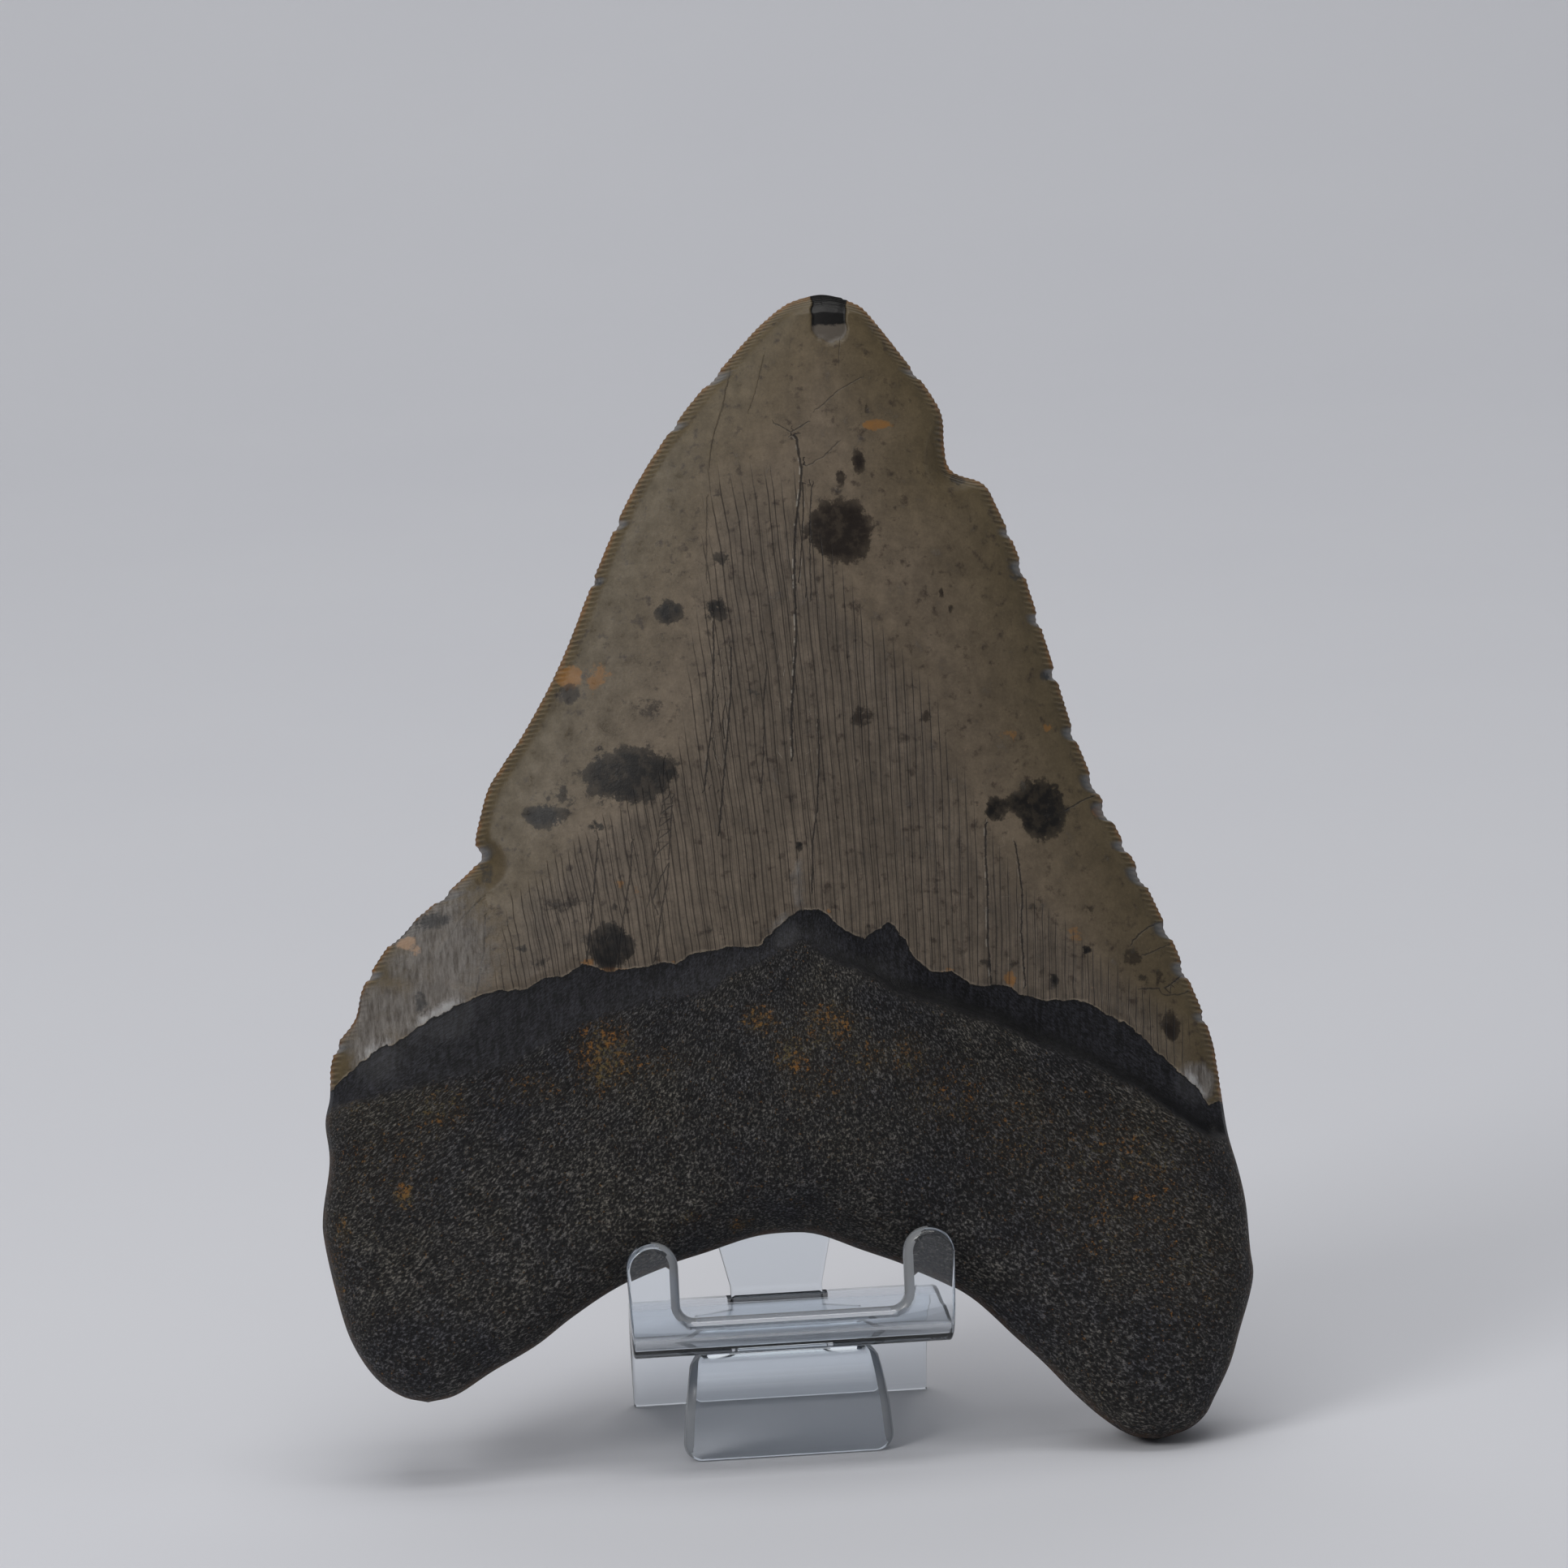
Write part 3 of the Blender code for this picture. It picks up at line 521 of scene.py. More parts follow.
# %% Rust in the root, and the marks of the back
ROOT_RUST = [
    (-22.5, 47.6, 3.3, 4.1, 1.00), (-23.0, 48.1, 1.6, 2.1, 0.60), (-4.2, 51.4, 2.1, 1.7, 0.90),
    (4.0, 50.4, 2.9, 2.5, 0.90), (-0.4, 47.0, 2.1, 2.5, 0.90), (13.3, 46.5, 2.1, 2.9, 0.70),
    (8.4, 46.5, 2.9, 2.1, 0.60), (-46.6, 31.7, 1.2, 1.6, 1.30), (-6.8, 27.0, 0.8, 0.8, 1.30),
    (-13.1, 28.2, 0.8, 0.8, 1.00), (-41.8, 41.8, 2.9, 2.5, 0.70), (-32.1, 43.8, 3.9, 1.9, 0.45),
    (38.4, 31.2, 10.7, 9.2, 0.45), (26.2, 37.0, 5.8, 5.8, 0.40), (18.3, 41.7, 4.9, 3.9, 0.50),
    (-53.2, 42.5, 2.9, 1.4, 0.60), (-48.6, 37.0, 5.8, 6.8, 0.30), (-54.6, 21.6, 1.4, 5.8, 0.50),
    (46.7, 19.5, 5.8, 5.8, 0.30), (3.5, 43.6, 4.9, 2.5, 0.40), (-16.7, 46.6, 3.9, 2.1, 0.35),
    (-53.8, 27.4, 0.8, 1.9, 0.90),
]
BACK_STAINS = [
    (12.0, 96.0, 3.0, 2.4, 0.90), (-14.0, 84.0, 4.2, 2.6, 0.80), (22.0, 70.0, 2.2, 2.8, 0.90),
    (-26.0, 66.0, 1.6, 1.4, 0.80), (2.0, 112.0, 1.6, 1.8, 0.70), (-3.0, 70.0, 3.2, 1.6, 0.60),
    (34.0, 58.0, 1.4, 1.4, 0.80),
]
BACK_BROWN = [
    (-20.0, 100.0, 2.0, 1.8, 0.80), (6.0, 88.0, 3.4, 2.2, 0.60), (-6.0, 122.0, 1.2, 1.4, 0.70),
    (16.0, 58.0, 2.6, 1.4, 0.60), (-38.0, 58.0, 1.6, 1.2, 0.70), (28.0, 84.0, 1.6, 1.2, 0.60),
]

# %% Smooth enamel with a painted sheen, and chips
SMOOTH_AND_SHEEN = [                  # where the enamel is smoother and shinier, and a painted reflection of the lights tints it silvery
    (-41.5, 60.5, 6.0, 8.0, 0.80), (-48.0, 52.5, 6.0, 4.0, 0.80), (-0.8, 61.4, 1.3, 2.0, 1.20),
    (-49.5, 48.6, 2.6, 3.0, 1.30), (-42.0, 53.2, 3.6, 3.0, 1.60), (48.2, 42.4, 2.2, 2.0, 1.50),
    (1.2, 67.0, 0.4, 3.0, 0.90),
]
PALE_CHIPS = [              # fresh breaks down to the pale dentine
    (-45.6, 61.4, 1.2, 0.9, 1.30), (-44.4, 60.4, 0.6, 0.6, 1.00), (12.3, 135.2, 0.5, 0.9, 1.10),
]
DARK_CHIPS = [              # breaks that have gone blue-black
    (-42.4, 64.0, 2.0, 1.0, 1.20), (-44.0, 54.2, 0.8, 1.4, 1.10), (31.6, 91.6, 0.9, 0.6, 1.20),
    (-35.8, 69.4, 0.8, 1.6, 0.90), (28.2, 103.6, 1.0, 0.6, 0.90), (-22.0, 104.0, 0.9, 0.6, 0.90),
]

# %% Long cracks, and the lined middle
CRACKS = [                  # how open it is, then its course from the top down
    (1.0, [(1.6, 121.2), (2.2, 120.5), (2.7, 116.8), (2.5, 114.5), (2.1, 111.8), (1.7, 109.1),
           (1.5, 105.1), (1.5, 96.7), (1.0, 90.9), (0.6, 86.5), (0.7, 82.2)]),
    (0.5, [(3.9, 114.8), (3.5, 110.6), (3.4, 105.1), (3.4, 101.2)]),
    (0.6, [(-8.3, 98.8), (-8.3, 95.3), (-8.7, 87.1), (-9.3, 83.3), (-9.9, 78.7)]),
    (0.6, [(-6.3, 95.3), (-6.4, 90.5), (-7.0, 84.9), (-7.7, 78.9), (-8.3, 73.5)]),
    (0.5, [(-2.1, 93.2), (-2.6, 89.0), (-2.6, 85.8), (-3.1, 78.4)]),
    (0.6, [(3.8, 86.4), (3.8, 81.8), (3.4, 76.1), (2.8, 72.4), (2.5, 66.2)]),
    (0.6, [(-22.6, 72.7), (-23.0, 69.2), (-23.5, 64.5), (-24.3, 58.8)]),
    (0.5, [(-18.6, 72.7), (-18.8, 69.3), (-19.9, 63.4), (-20.6, 57.9)]),
    (0.5, [(-13.7, 77.8), (-14.5, 68.1), (-15.4, 63.9), (-16.2, 58.7)]),
    (0.4, [(-14.5, 82.5), (-14.9, 76.7), (-15.6, 72.6), (-16.3, 69.4), (-16.8, 65.3)]),
    (0.5, [(-36.1, 64.1), (-36.4, 59.9), (-37.4, 55.3)]),
    (0.8, [(23.6, 73.8), (23.5, 70.0), (23.6, 65.5), (23.4, 59.9), (23.7, 54.8)]),
    (0.6, [(27.2, 71.4), (27.8, 65.5), (27.5, 61.1), (27.8, 54.6)]),
    (0.3, [(-5.4, 129.3), (-6.4, 124.6), (-7.6, 121.3), (-8.3, 117.5)]),
    (0.3, [(-8.6, 113.5), (-8.8, 109.0), (-8.9, 103.8)]),
    (0.2, [(-1.3, 130.7), (-2.3, 126.9), (-3.3, 124.1)]),
    (0.2, [(7.8, 132.2), (7.5, 129.7)]),
    (0.3, [(10.1, 127.7), (7.5, 126.3), (4.7, 123.9)]),
    (0.3, [(7.1, 119.9), (5.2, 118.1), (3.3, 117.1)]),
    (0.5, [(41.1, 59.5), (42.1, 60.5), (43.5, 61.4), (45.2, 62.0)]),
    (0.4, [(42.7, 57.9), (44.5, 58.7), (46.4, 59.3)]),
    (0.5, [(42.1, 53.9), (45.1, 53.9), (46.9, 55.2), (48.1, 55.8)]),
    (0.4, [(44.8, 53.1), (46.9, 53.1), (49.0, 54.0)]),
    (0.5, [(33.7, 75.6), (36.6, 77.0), (38.1, 77.4)]),
    (0.4, [(-36.5, 66.5), (-39.0, 64.0), (-41.5, 60.0)]),
    (0.4, [(1.6, 121.2), (-0.3, 122.4)]),
    (0.4, [(1.6, 121.2), (3.4, 122.3)]),
]
FRONT_SPOTS = {"black_stain": BLACK_STAINS, "brown_stain": BROWN_STAINS, "enamel_rust": ENAMEL_RUST,
               "root_rust": ROOT_RUST, "smooth_and_sheen": SMOOTH_AND_SHEEN, "pale_chip": PALE_CHIPS,
               "dark_chip": DARK_CHIPS}
BACK_SPOTS = {"black_stain": BACK_STAINS, "brown_stain": BACK_BROWN}
# the hairline cracks lie close together in the middle, between two lines of (height, across)
LINED_LEFT = [(56.0, -36.0), (66.0, -34.0), (72.0, -27.0), (82.0, -14.0), (96.0, -11.0), (112.0, -9.0)]
LINED_RIGHT = [(50.0, 48.0), (56.0, 40.0), (66.0, 29.0), (74.0, 24.0), (90.0, 18.0), (101.0, 9.0),
               (112.0, 4.0)]
LINED_TOP, LINED_TOP_FADE, LINED_SIDE_FADE = 117.0, 8.0, 4.0
BACK_LINED_TOP, BACK_LINED_TOP_FADE = 104.0, 10.0
BACK_LINED_HALF, BACK_LINED_SIDE_FADE = 24.0, 6.0
NO_CRACK = 50.0             # distance to a crack where there is none, mm
print("spots in front:", sum(len(table) for table in FRONT_SPOTS.values()), "long cracks:", len(CRACKS))

# %% Values of the marks
def soft_spots(points, spots):
    """Cones over ellipses: strength at a spot's middle, 0 a little outside it."""
    field = np.zeros(len(points))
    for across, up, half_width, half_height, strength in spots:
        r = np.hypot((points[:, 0] - across) / half_width, (points[:, 1] - up) / half_height)
        field = np.maximum(field, strength * np.clip(1.5 - r, 0.0, 1.0))
    return field


def crack_values(points):
    """Signed side distance to the nearest crack, the plain distance to it, and how open it is."""
    side, near = np.full(len(points), NO_CRACK), np.full(len(points), NO_CRACK)
    opening = np.zeros(len(points))
    for strength, crack in CRACKS:
        line = np.array(crack)
        offset = nearest(points, line, signed=True)
        distance = abs(offset)
        closer = distance < near
        side, near = np.where(closer, offset, side), np.where(closer, distance, near)
        opening = np.where(closer, strength, opening)
    return side, near, opening


# %% [markdown]
# ## Building the two sheets
# The grid starts as a plain unit square. Where the saw teeth will be, its rows are divided again
# while it is still flat, because the mesh there has to follow a pitch of 0.7 mm. The same is done at
# the tip. Then every point moves to its place, and the two sheets are merged along the outline.

# %% Grid and mapping
COLUMNS, ROWS = 120, 226
EDGE_CROWDING = 0.55
EDGE_STRIP = 5              # columns beside each cutting edge that get finer rows
CROWN_START = 0.235         # share of the side edges that belongs to the root
TIP_START = 0.955
FINE_CUTS = 5

FIELDS = ["above_enamel_end", "above_root_rim", "edge_distance", "black_stain", "brown_stain",
          "enamel_rust", "root_rust", "crack_side", "crack_near", "crack_opening", "facet", "lined",
          "smooth_and_sheen", "pale_chip", "dark_chip", "groove_shade", "edge_arc", "chip"]
FLOWS = ["tooth_plane", "crown_flow", "root_flow"]
print("grid:", COLUMNS, "by", ROWS, "faces for each side, before the fine rows")

# %% Coordinates that follow cracks and grain
def crown_flow(points):
    """Coordinates that follow the enamel's long cracks, which spread slightly downwards."""
    across, up = points.T
    lean = np.clip(0.07 - 0.0035 * across, -0.02, 0.16)
    return np.stack([across + lean * (up - 60.0), up], axis=1)


def root_flow(points):
    """Coordinates that follow the root's grain, which fans out into both lobes."""
    across, up = points.T
    return np.stack([across / (1.0 + 0.041 * np.maximum(60.0 - up, 0.0)), up], axis=1)


# %% The flat sheet
def unit_sheet(bm, placed):
    """A flat grid over the unit square with finer rows along the cutting edges and the tip."""
    grid = bmesh.ops.create_grid(bm, x_segments=COLUMNS, y_segments=ROWS, size=0.5)
    strip = EDGE_STRIP / COLUMNS + 1e-4
    rails = []
    for edge in {e for v in grid["verts"] for e in v.link_edges}:
        a, b = edge.verts[0].co, edge.verts[1].co
        if abs(a.x - b.x) < 1e-6:
            s, t = a.x + 0.5, (a.y + b.y) / 2 + 0.5
            beside = s < strip or s > 1 - strip
            if t > TIP_START or (beside and t > CROWN_START):
                rails.append(edge)
    bmesh.ops.subdivide_edges(bm, edges=rails, cuts=FINE_CUTS, use_grid_fill=True)
    fresh = [v for v in bm.verts if v[placed] == 0]
    for v in fresh:
        v[placed] = 1
    return fresh


# %% Front of the tooth
# noises: height, size, seed, stretch
ENAMEL_JAG = [(0.42, 1.1, 5.0), (0.2, 0.5, 6.0)]
ROOT_LUMPS = [(0.22, 5.0, 1.0), (0.12, 1.8, 2.0, 1.8), (0.06, 0.9, 3.0, 2.0)]
FACET_JAG = [(0.45, 1.3, 17.0)]
CROWN_WAVES, CROWN_WAVE_SIZE, CROWN_WAVE_SEED, CROWN_WAVE_STRETCH = 0.07, 7.0, 4.0, 2.5
FACET_RIM, FACET_MARGIN = 0.35, 0.8
EDGE_MARGIN = 1.5           # the relief fades out towards the outline
STEP_WIDTH = 0.5            # of the enamel's end


def front_values(points, edge):
    across, up = points.T
    jag = roughened(points, ENAMEL_JAG)
    enamel_end, rim = by_table(ENAMEL_END, across), by_table(ROOT_RIM, across)
    depth = front_depth(across, up, edge, enamel_end, rim)
    above = up - enamel_end + jag
    inside = np.clip(edge / EDGE_MARGIN, 0.0, 1.0)
    on_root = ease((rim + 0.5 - up) / 1.5)
    depth += ENAMEL_STEP * ease(above / STEP_WIDTH) * inside
    depth += on_root * inside * roughened(points, ROOT_LUMPS)
    waves = lumps(points, CROWN_WAVE_SIZE, CROWN_WAVE_SEED, CROWN_WAVE_STRETCH)
    depth += (1 - on_root) * inside * CROWN_WAVES * waves
    below_facet = np.hypot(across - TIP_FACET_AT[0], np.minimum(up - TIP_FACET_AT[1], 0.0))
    below_facet += roughened(points, FACET_JAG)
    facet = ease((TIP_FACET_REACH - below_facet) / FACET_RIM)
    depth = depth - TIP_FACET_DEPTH * facet * np.clip(edge / FACET_MARGIN, 0.0, 1.0)
    # painted shade in the groove under the root's rim, at the right
    groove_shade = ease((across - 1.0) / 10.0) * np.exp(-((up - rim - 0.9 + jag) / 0.95) ** 2)
    side, near, opening = crack_values(points)
    lined_left = np.interp(up, *np.array(LINED_LEFT).T)
    lined_right = np.interp(up, *np.array(LINED_RIGHT).T)
    lined = np.minimum(across - lined_left, lined_right - across) / LINED_SIDE_FADE
    lined = np.minimum(lined, (LINED_TOP - up) / LINED_TOP_FADE)
    spots = {name: soft_spots(points, table) for name, table in FRONT_SPOTS.items()}
    return depth, spots | {
        "above_enamel_end": above, "above_root_rim": up - rim + jag, "groove_shade": groove_shade, "facet": facet,
        "crack_side": side, "crack_near": near, "crack_opening": opening, "lined": lined}


# %% Back of the tooth
BACK_JAG = [(0.4, 1.3, 15.0), (0.2, 0.55, 16.0)]
BACK_LUMPS = [(0.2, 5.0, 12.0), (0.12, 1.8, 13.0, 1.8)]
BACK_STEP_SHARE = 0.6       # of the enamel's step in front


def back_values(points, edge):
    across, up = points.T
    jag = roughened(points, BACK_JAG)
    enamel_end = by_table(BACK_ENAMEL_END, across)
    depth = back_depth(across, up, edge, enamel_end)
    above = up - enamel_end + 2.0 * lumps(points, 5.0, 11.0) * np.clip(edge / 4, 0, 1) + jag
    inside = np.clip(edge / EDGE_MARGIN, 0.0, 1.0)
    on_root = ease(-above / 2.0)
    depth += BACK_STEP_SHARE * ENAMEL_STEP * ease(above / STEP_WIDTH) * inside
    depth += on_root * inside * roughened(points, BACK_LUMPS)
    lined = np.minimum((BACK_LINED_TOP - up) / BACK_LINED_TOP_FADE,
                       (BACK_LINED_HALF - abs(across)) / BACK_LINED_SIDE_FADE)
    zero = np.zeros(len(points))
    spots = {name: soft_spots(points, table) for name, table in BACK_SPOTS.items()}
    return depth, dict.fromkeys(FIELDS, zero) | spots | {
        "above_enamel_end": above, "above_root_rim": above + BACK_NECK,
        "root_rust": 0.6 + 0.8 * lumps(points, 9.0, 14.0),
        "crack_side": zero + NO_CRACK, "crack_near": zero + NO_CRACK, "lined": lined}


# %% Both sheets together
def tooth_mesh():
    bm = bmesh.new()
    placed = bm.verts.layers.int.new("placed")
    fields = {name: bm.verts.layers.float.new(name) for name in FIELDS}
    flows = {name: bm.verts.layers.float_vector.new(name) for name in FLOWS}
    for side in ("front", "back"):
        verts = unit_sheet(bm, placed)
        flat = np.array([v.co[:] for v in verts])
        s, t = flat[:, 0] + 0.5, flat[:, 1] + 0.5
        s = (1 - EDGE_CROWDING) * s + EDGE_CROWDING * (0.5 - 0.5 * np.cos(math.pi * s))
        points = place_in_outline(s, t)
        on_edge = (s < 1e-6) | (s > 1 - 1e-6) | (t < 1e-6) | (t > 1 - 1e-6)
        to_left, to_right = nearest(points, LEFT), nearest(points, RIGHT)
        edge = np.minimum(np.minimum(to_left, to_right),
                          np.minimum(nearest(points, ARCH), nearest(points, TIP)))
        edge[on_edge] = 0.0
        worn_left, left_arc, left_chip = edge_wear(points, to_left, t, "left")
        worn_right, right_arc, right_chip = edge_wear(points, to_right, t, "right")
        worn = worn_left + worn_right - points
        arc, chip = np.where(s < 0.5, left_arc, right_arc), left_chip + right_chip
        if side == "front":
            depth, values = front_values(points, edge)
            depth = -depth
        else:
            depth, values = back_values(points, edge)
            hang = BACK_HANG * (depth / ROOT_BACK) * (1 - ease(edge / BACK_HANG_REACH[1])) * (1 - t)
            worn = worn - np.stack([0 * hang, hang * np.exp(-(points[:, 0] / BACK_HANG_REACH[0]) ** 4)],
                                   axis=1)
            faces = {face for v in verts for face in v.link_faces}
            bmesh.ops.reverse_faces(bm, faces=list(faces))
        values |= {"edge_distance": edge, "edge_arc": arc, "chip": chip}
        laid = {"tooth_plane": points, "crown_flow": crown_flow(points), "root_flow": root_flow(points)}
        for i, v in enumerate(verts):
            v.co = (worn[i, 0] * MM, depth[i] * MM, worn[i, 1] * MM)
            for name, layer in flows.items():
                v[layer] = (laid[name][i, 0], depth[i], laid[name][i, 1])
            for name, layer in fields.items():
                v[layer] = values[name][i]
        print(side, "sheet points:", len(verts))
    bmesh.ops.remove_doubles(bm, verts=bm.verts, dist=0.002 * MM)
    bmesh.ops.triangulate(bm, faces=bm.faces)
    bmesh.ops.transform(bm, matrix=tooth_place, verts=bm.verts)
    return new_mesh("fossil_tooth", bm)


# %% The tooth
tooth = new_object("fossil_tooth", tooth_mesh())
print("tooth triangles:", len(tooth.data.polygons))

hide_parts("tooth")
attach(tooth, "root")

# %% [markdown]
# ## The tooth's finish
# After a few million years in mud the enamel has taken up iron and manganese: it is grey-brown and
# satin glossy, with black and rusty stains and a comb of hairline cracks that run down its length.
# The neck below is smooth and blue-black, and the root is matt, finely grained bone. One material
# holds all three, because they are one surface, and the named values of the mesh say which is where.

# %% Fossil tooth material
# fossil enamel over root: satin enamel that mirrors the lights softly, smooth dark neck, matt root
fossil, tree, shader = new_material("fossil_enamel_and_root")
value = {name: add(tree, "Attribute", attribute_name=name).outputs["Fac"] for name in FIELDS}
flat_at, crown_at, root_at = [add(tree, "Attribute", attribute_name=name).outputs["Vector"]
                              for name in FLOWS]
height_up = add(tree, "SeparateXYZ", {"Vector": flat_at}).outputs["Z"]
line_at = add(tree, "SeparateXYZ", {"Vector": crown_at}).outputs["X"]

# the root is porous: short flecks a quarter of a millimetre wide follow its grain
FLECK_WIDTH = 0.25
SLANT = math.radians(42)    # of the ripples in the smooth enamel with its painted sheen
grain_at = add(tree, "Mapping", {"Vector": root_at, "Scale": (1.9, 1.0, 0.75)})
grain = add(tree, "TexNoise", {"Vector": grain_at, "Scale": 0.85 / FLECK_WIDTH, "Detail": 3.0,
                               "Roughness": 0.7, "Distortion": 0.2})

# name, the coordinates it follows, how they are changed, features per mm, detail, roughness
noises = {}
for name, at, change, scale, detail, roughness in (
        ("clouds", flat_at, {}, 0.09, 5.0, 0.6),
        ("patches", flat_at, {}, 0.45, 6.0, 0.68),
        ("ragged", flat_at, {}, 1.6, 5.0, 0.65),
        ("dust", flat_at, {}, 3.2, 4.0, 0.7),
        ("freckles", flat_at, {"Location": (31.0, 7.0, 3.0)}, 0.75, 5.0, 0.62),
        ("specks", flat_at, {"Location": (5.0, 17.0, 9.0)}, 2.3, 4.0, 0.75),
        ("glint", flat_at, {"Scale": (0.3, 0.3, 1.0)}, 1.1, 3.0, 0.5),
        ("ripple", flat_at, {"Rotation": (0.0, SLANT, 0.0), "Scale": (2.4, 1.0, 0.45)}, 0.9, 5.0, 0.7),
        ("streaks", crown_at, {"Scale": (1.0, 1.0, 0.05)}, 1.1, 4.0, 0.65),
        ("gaps", crown_at, {"Scale": (1.0, 1.0, 0.05)}, 1.3, 3.0, 0.5),
        ("sway", crown_at, {"Scale": (0.12, 1.0, 0.03)}, 1.0, 3.0, 0.4)):
    if change:
        at = add(tree, "Mapping", {"Vector": at, **change})
    noises[name] = add(tree, "TexNoise", {"Vector": at, "Scale": scale, "Detail": detail,
                                          "Roughness": roughness})
patches, ripple = noises["patches"], noises["ripple"]
ragged = add(tree, "Math", {0: noises["ragged"], 1: 0.5}, operation="SUBTRACT")
print("values on the tooth's points:", len(FIELDS), "noises:", len(noises) + 1)

# %% [markdown]
# Every mark needs a border that looks natural. A value of the mesh is first broken up with noise, and
# then a share says how strongly the mark shows: nothing on one side of a limit, all of it on the
# other. The same kind of node gives the tones that make the colour a little lighter and darker.

# %% Borders, shares and tones
# name, what breaks it up, by how much, and the value that is broken up
border = {}
for name, breaker, amount, source in (
        ("edge", ragged, 0.8, value["edge_distance"]),
        ("crack", ragged, 0.45, value["crack_side"]),
        ("sheen_highlight_band", ragged, 1.8, value["above_enamel_end"]),
        ("crown", ragged, 0.6, value["above_enamel_end"]),
        ("root", ragged, 1.6, value["above_root_rim"]),
        ("broken", ragged, 1.2, height_up),
        ("dark_chip", ragged, 2.4, value["dark_chip"]),
        ("pale_chip", ragged, 2.4, value["pale_chip"]),
        ("smooth_and_sheen", patches, 1.2, value["smooth_and_sheen"]),
        ("sheen_highlight", ripple, 2.2, value["smooth_and_sheen"]),
        ("neck_tone", ripple, 0.7, grain),
        ("speck", value["root_rust"], 0.13, noises["specks"])):
    border[name] = add(tree, "Math", {0: breaker, 1: amount, 2: source}, operation="MULTIPLY_ADD")

# name, what it follows, from and to which value, and the share or tone that these two give
share = {}
for name, source, start, end, low, high in (
        ("cloud", noises["clouds"], 0.35, 0.65, 0.0, 1.0),
        ("warm", value["edge_distance"], 1.5, 13.0, 0.85, 0.0),
        ("tip_tone", height_up, 92.0, 126.0, 1.0, 1.14),
        ("grey", value["lined"], -0.2, 1.2, 0.0, 0.5),
        ("patch_tone", patches, 0.36, 0.66, 1.16, 0.80),
        ("dust_tone", noises["dust"], 0.3, 0.7, 0.88, 1.12),
        ("streak_tone", noises["streaks"], 0.35, 0.65, 0.80, 1.20),
        ("streak", value["lined"], 0.0, 1.0, 0.2, 1.0),
        ("freckle", noises["freckles"], 0.57, 0.69, 0.0, 0.7),
        ("crack_tone", value["crack_opening"], 0.2, 0.6, 0.5, 1.0),
        ("glint", noises["glint"], 0.52, 0.60, 0.0, 1.0),
        ("lip", value["crack_opening"], 0.45, 1.0, 0.0, 0.55),
        # a painted glow of warm light through the thin cutting edges
        ("edge_glow", border["edge"], 0.05, 0.6, 0.8, 0.0),
        ("edge_there", patches, 0.62, 0.42, 0.25, 1.0),
        ("rib_reach", border["edge"], 0.2, 1.5, 1.0, 0.0),
        ("chip", value["chip"], 0.06, 0.2, 0.0, 0.7),
        ("dark_chip", border["dark_chip"], 0.45, 0.95, 0.0, 0.62),
        ("pale_chip", border["pale_chip"], 0.45, 0.95, 0.0, 0.62),
        ("smooth_and_sheen", border["smooth_and_sheen"], 0.75, 1.35, 0.0, 0.8),
        ("sheen_tone", ripple, 0.36, 0.64, 0.0, 1.0),
        ("sheen_highlight", border["sheen_highlight"], 1.9, 2.7, 0.0, 1.0),
        ("sheen_highlight_band", border["sheen_highlight_band"], 0.5, 1.5, 0.8, 0.0),
        ("facet", value["facet"], 0.3, 0.7, 0.0, 1.0),
        ("broken", border["broken"], 134.1, 134.4, 0.0, 1.0),
        ("root_tone", patches, 0.32, 0.68, 1.45, 0.65),
        ("rust_haze", value["root_rust"], 0.0, 1.2, 0.0, 0.38),
        ("speck", border["speck"], 0.63, 0.70, 0.0, 0.85),
        ("speck_warmth", patches, 0.42, 0.58, 0.0, 1.0),
        ("fringe", border["edge"], 0.1, 0.9, 0.6, 0.0),
        ("fringe_there", patches, 0.40, 0.62, 0.0, 0.9),
        ("neck_tone", border["neck_tone"], 0.76, 1.20, 0.0, 1.0),
        ("neck", border["root"], -0.6, 0.4, 0.0, 1.0),
        ("crown", border["crown"], -0.05, 0.05, 0.0, 1.0),
        ("margin", border["crown"], 0.05, 0.30, 0.6, 0.0),
        ("margin_there", patches, 0.42, 0.55, 1.0, 0.1),
        ("shadow_gap", border["crown"], -0.45, -0.05, 0.0, 0.7),
        ("satin", patches, 0.35, 0.65, 0.36, 0.46)):
    share[name] = add(tree, "MapRange", {"Value": source, 1: start, 2: end, 3: low, 4: high})
for name, source, factor in (
        ("edge_glow", share["edge_glow"], share["edge_there"]),
        ("sheen_highlight", share["sheen_highlight"], share["sheen_highlight_band"]),
        ("fringe", share["fringe"], share["fringe_there"]),
        ("margin", share["margin"], share["margin_there"]),
        ("neck_smooth_and_sheen", share["smooth_and_sheen"], 0.16),
        ("groove_shade", value["groove_shade"], 0.9)):
    share[name] = add(tree, "Math", {0: source, 1: factor}, operation="MULTIPLY")
print("borders:", len(border), "shares and tones:", len(share))

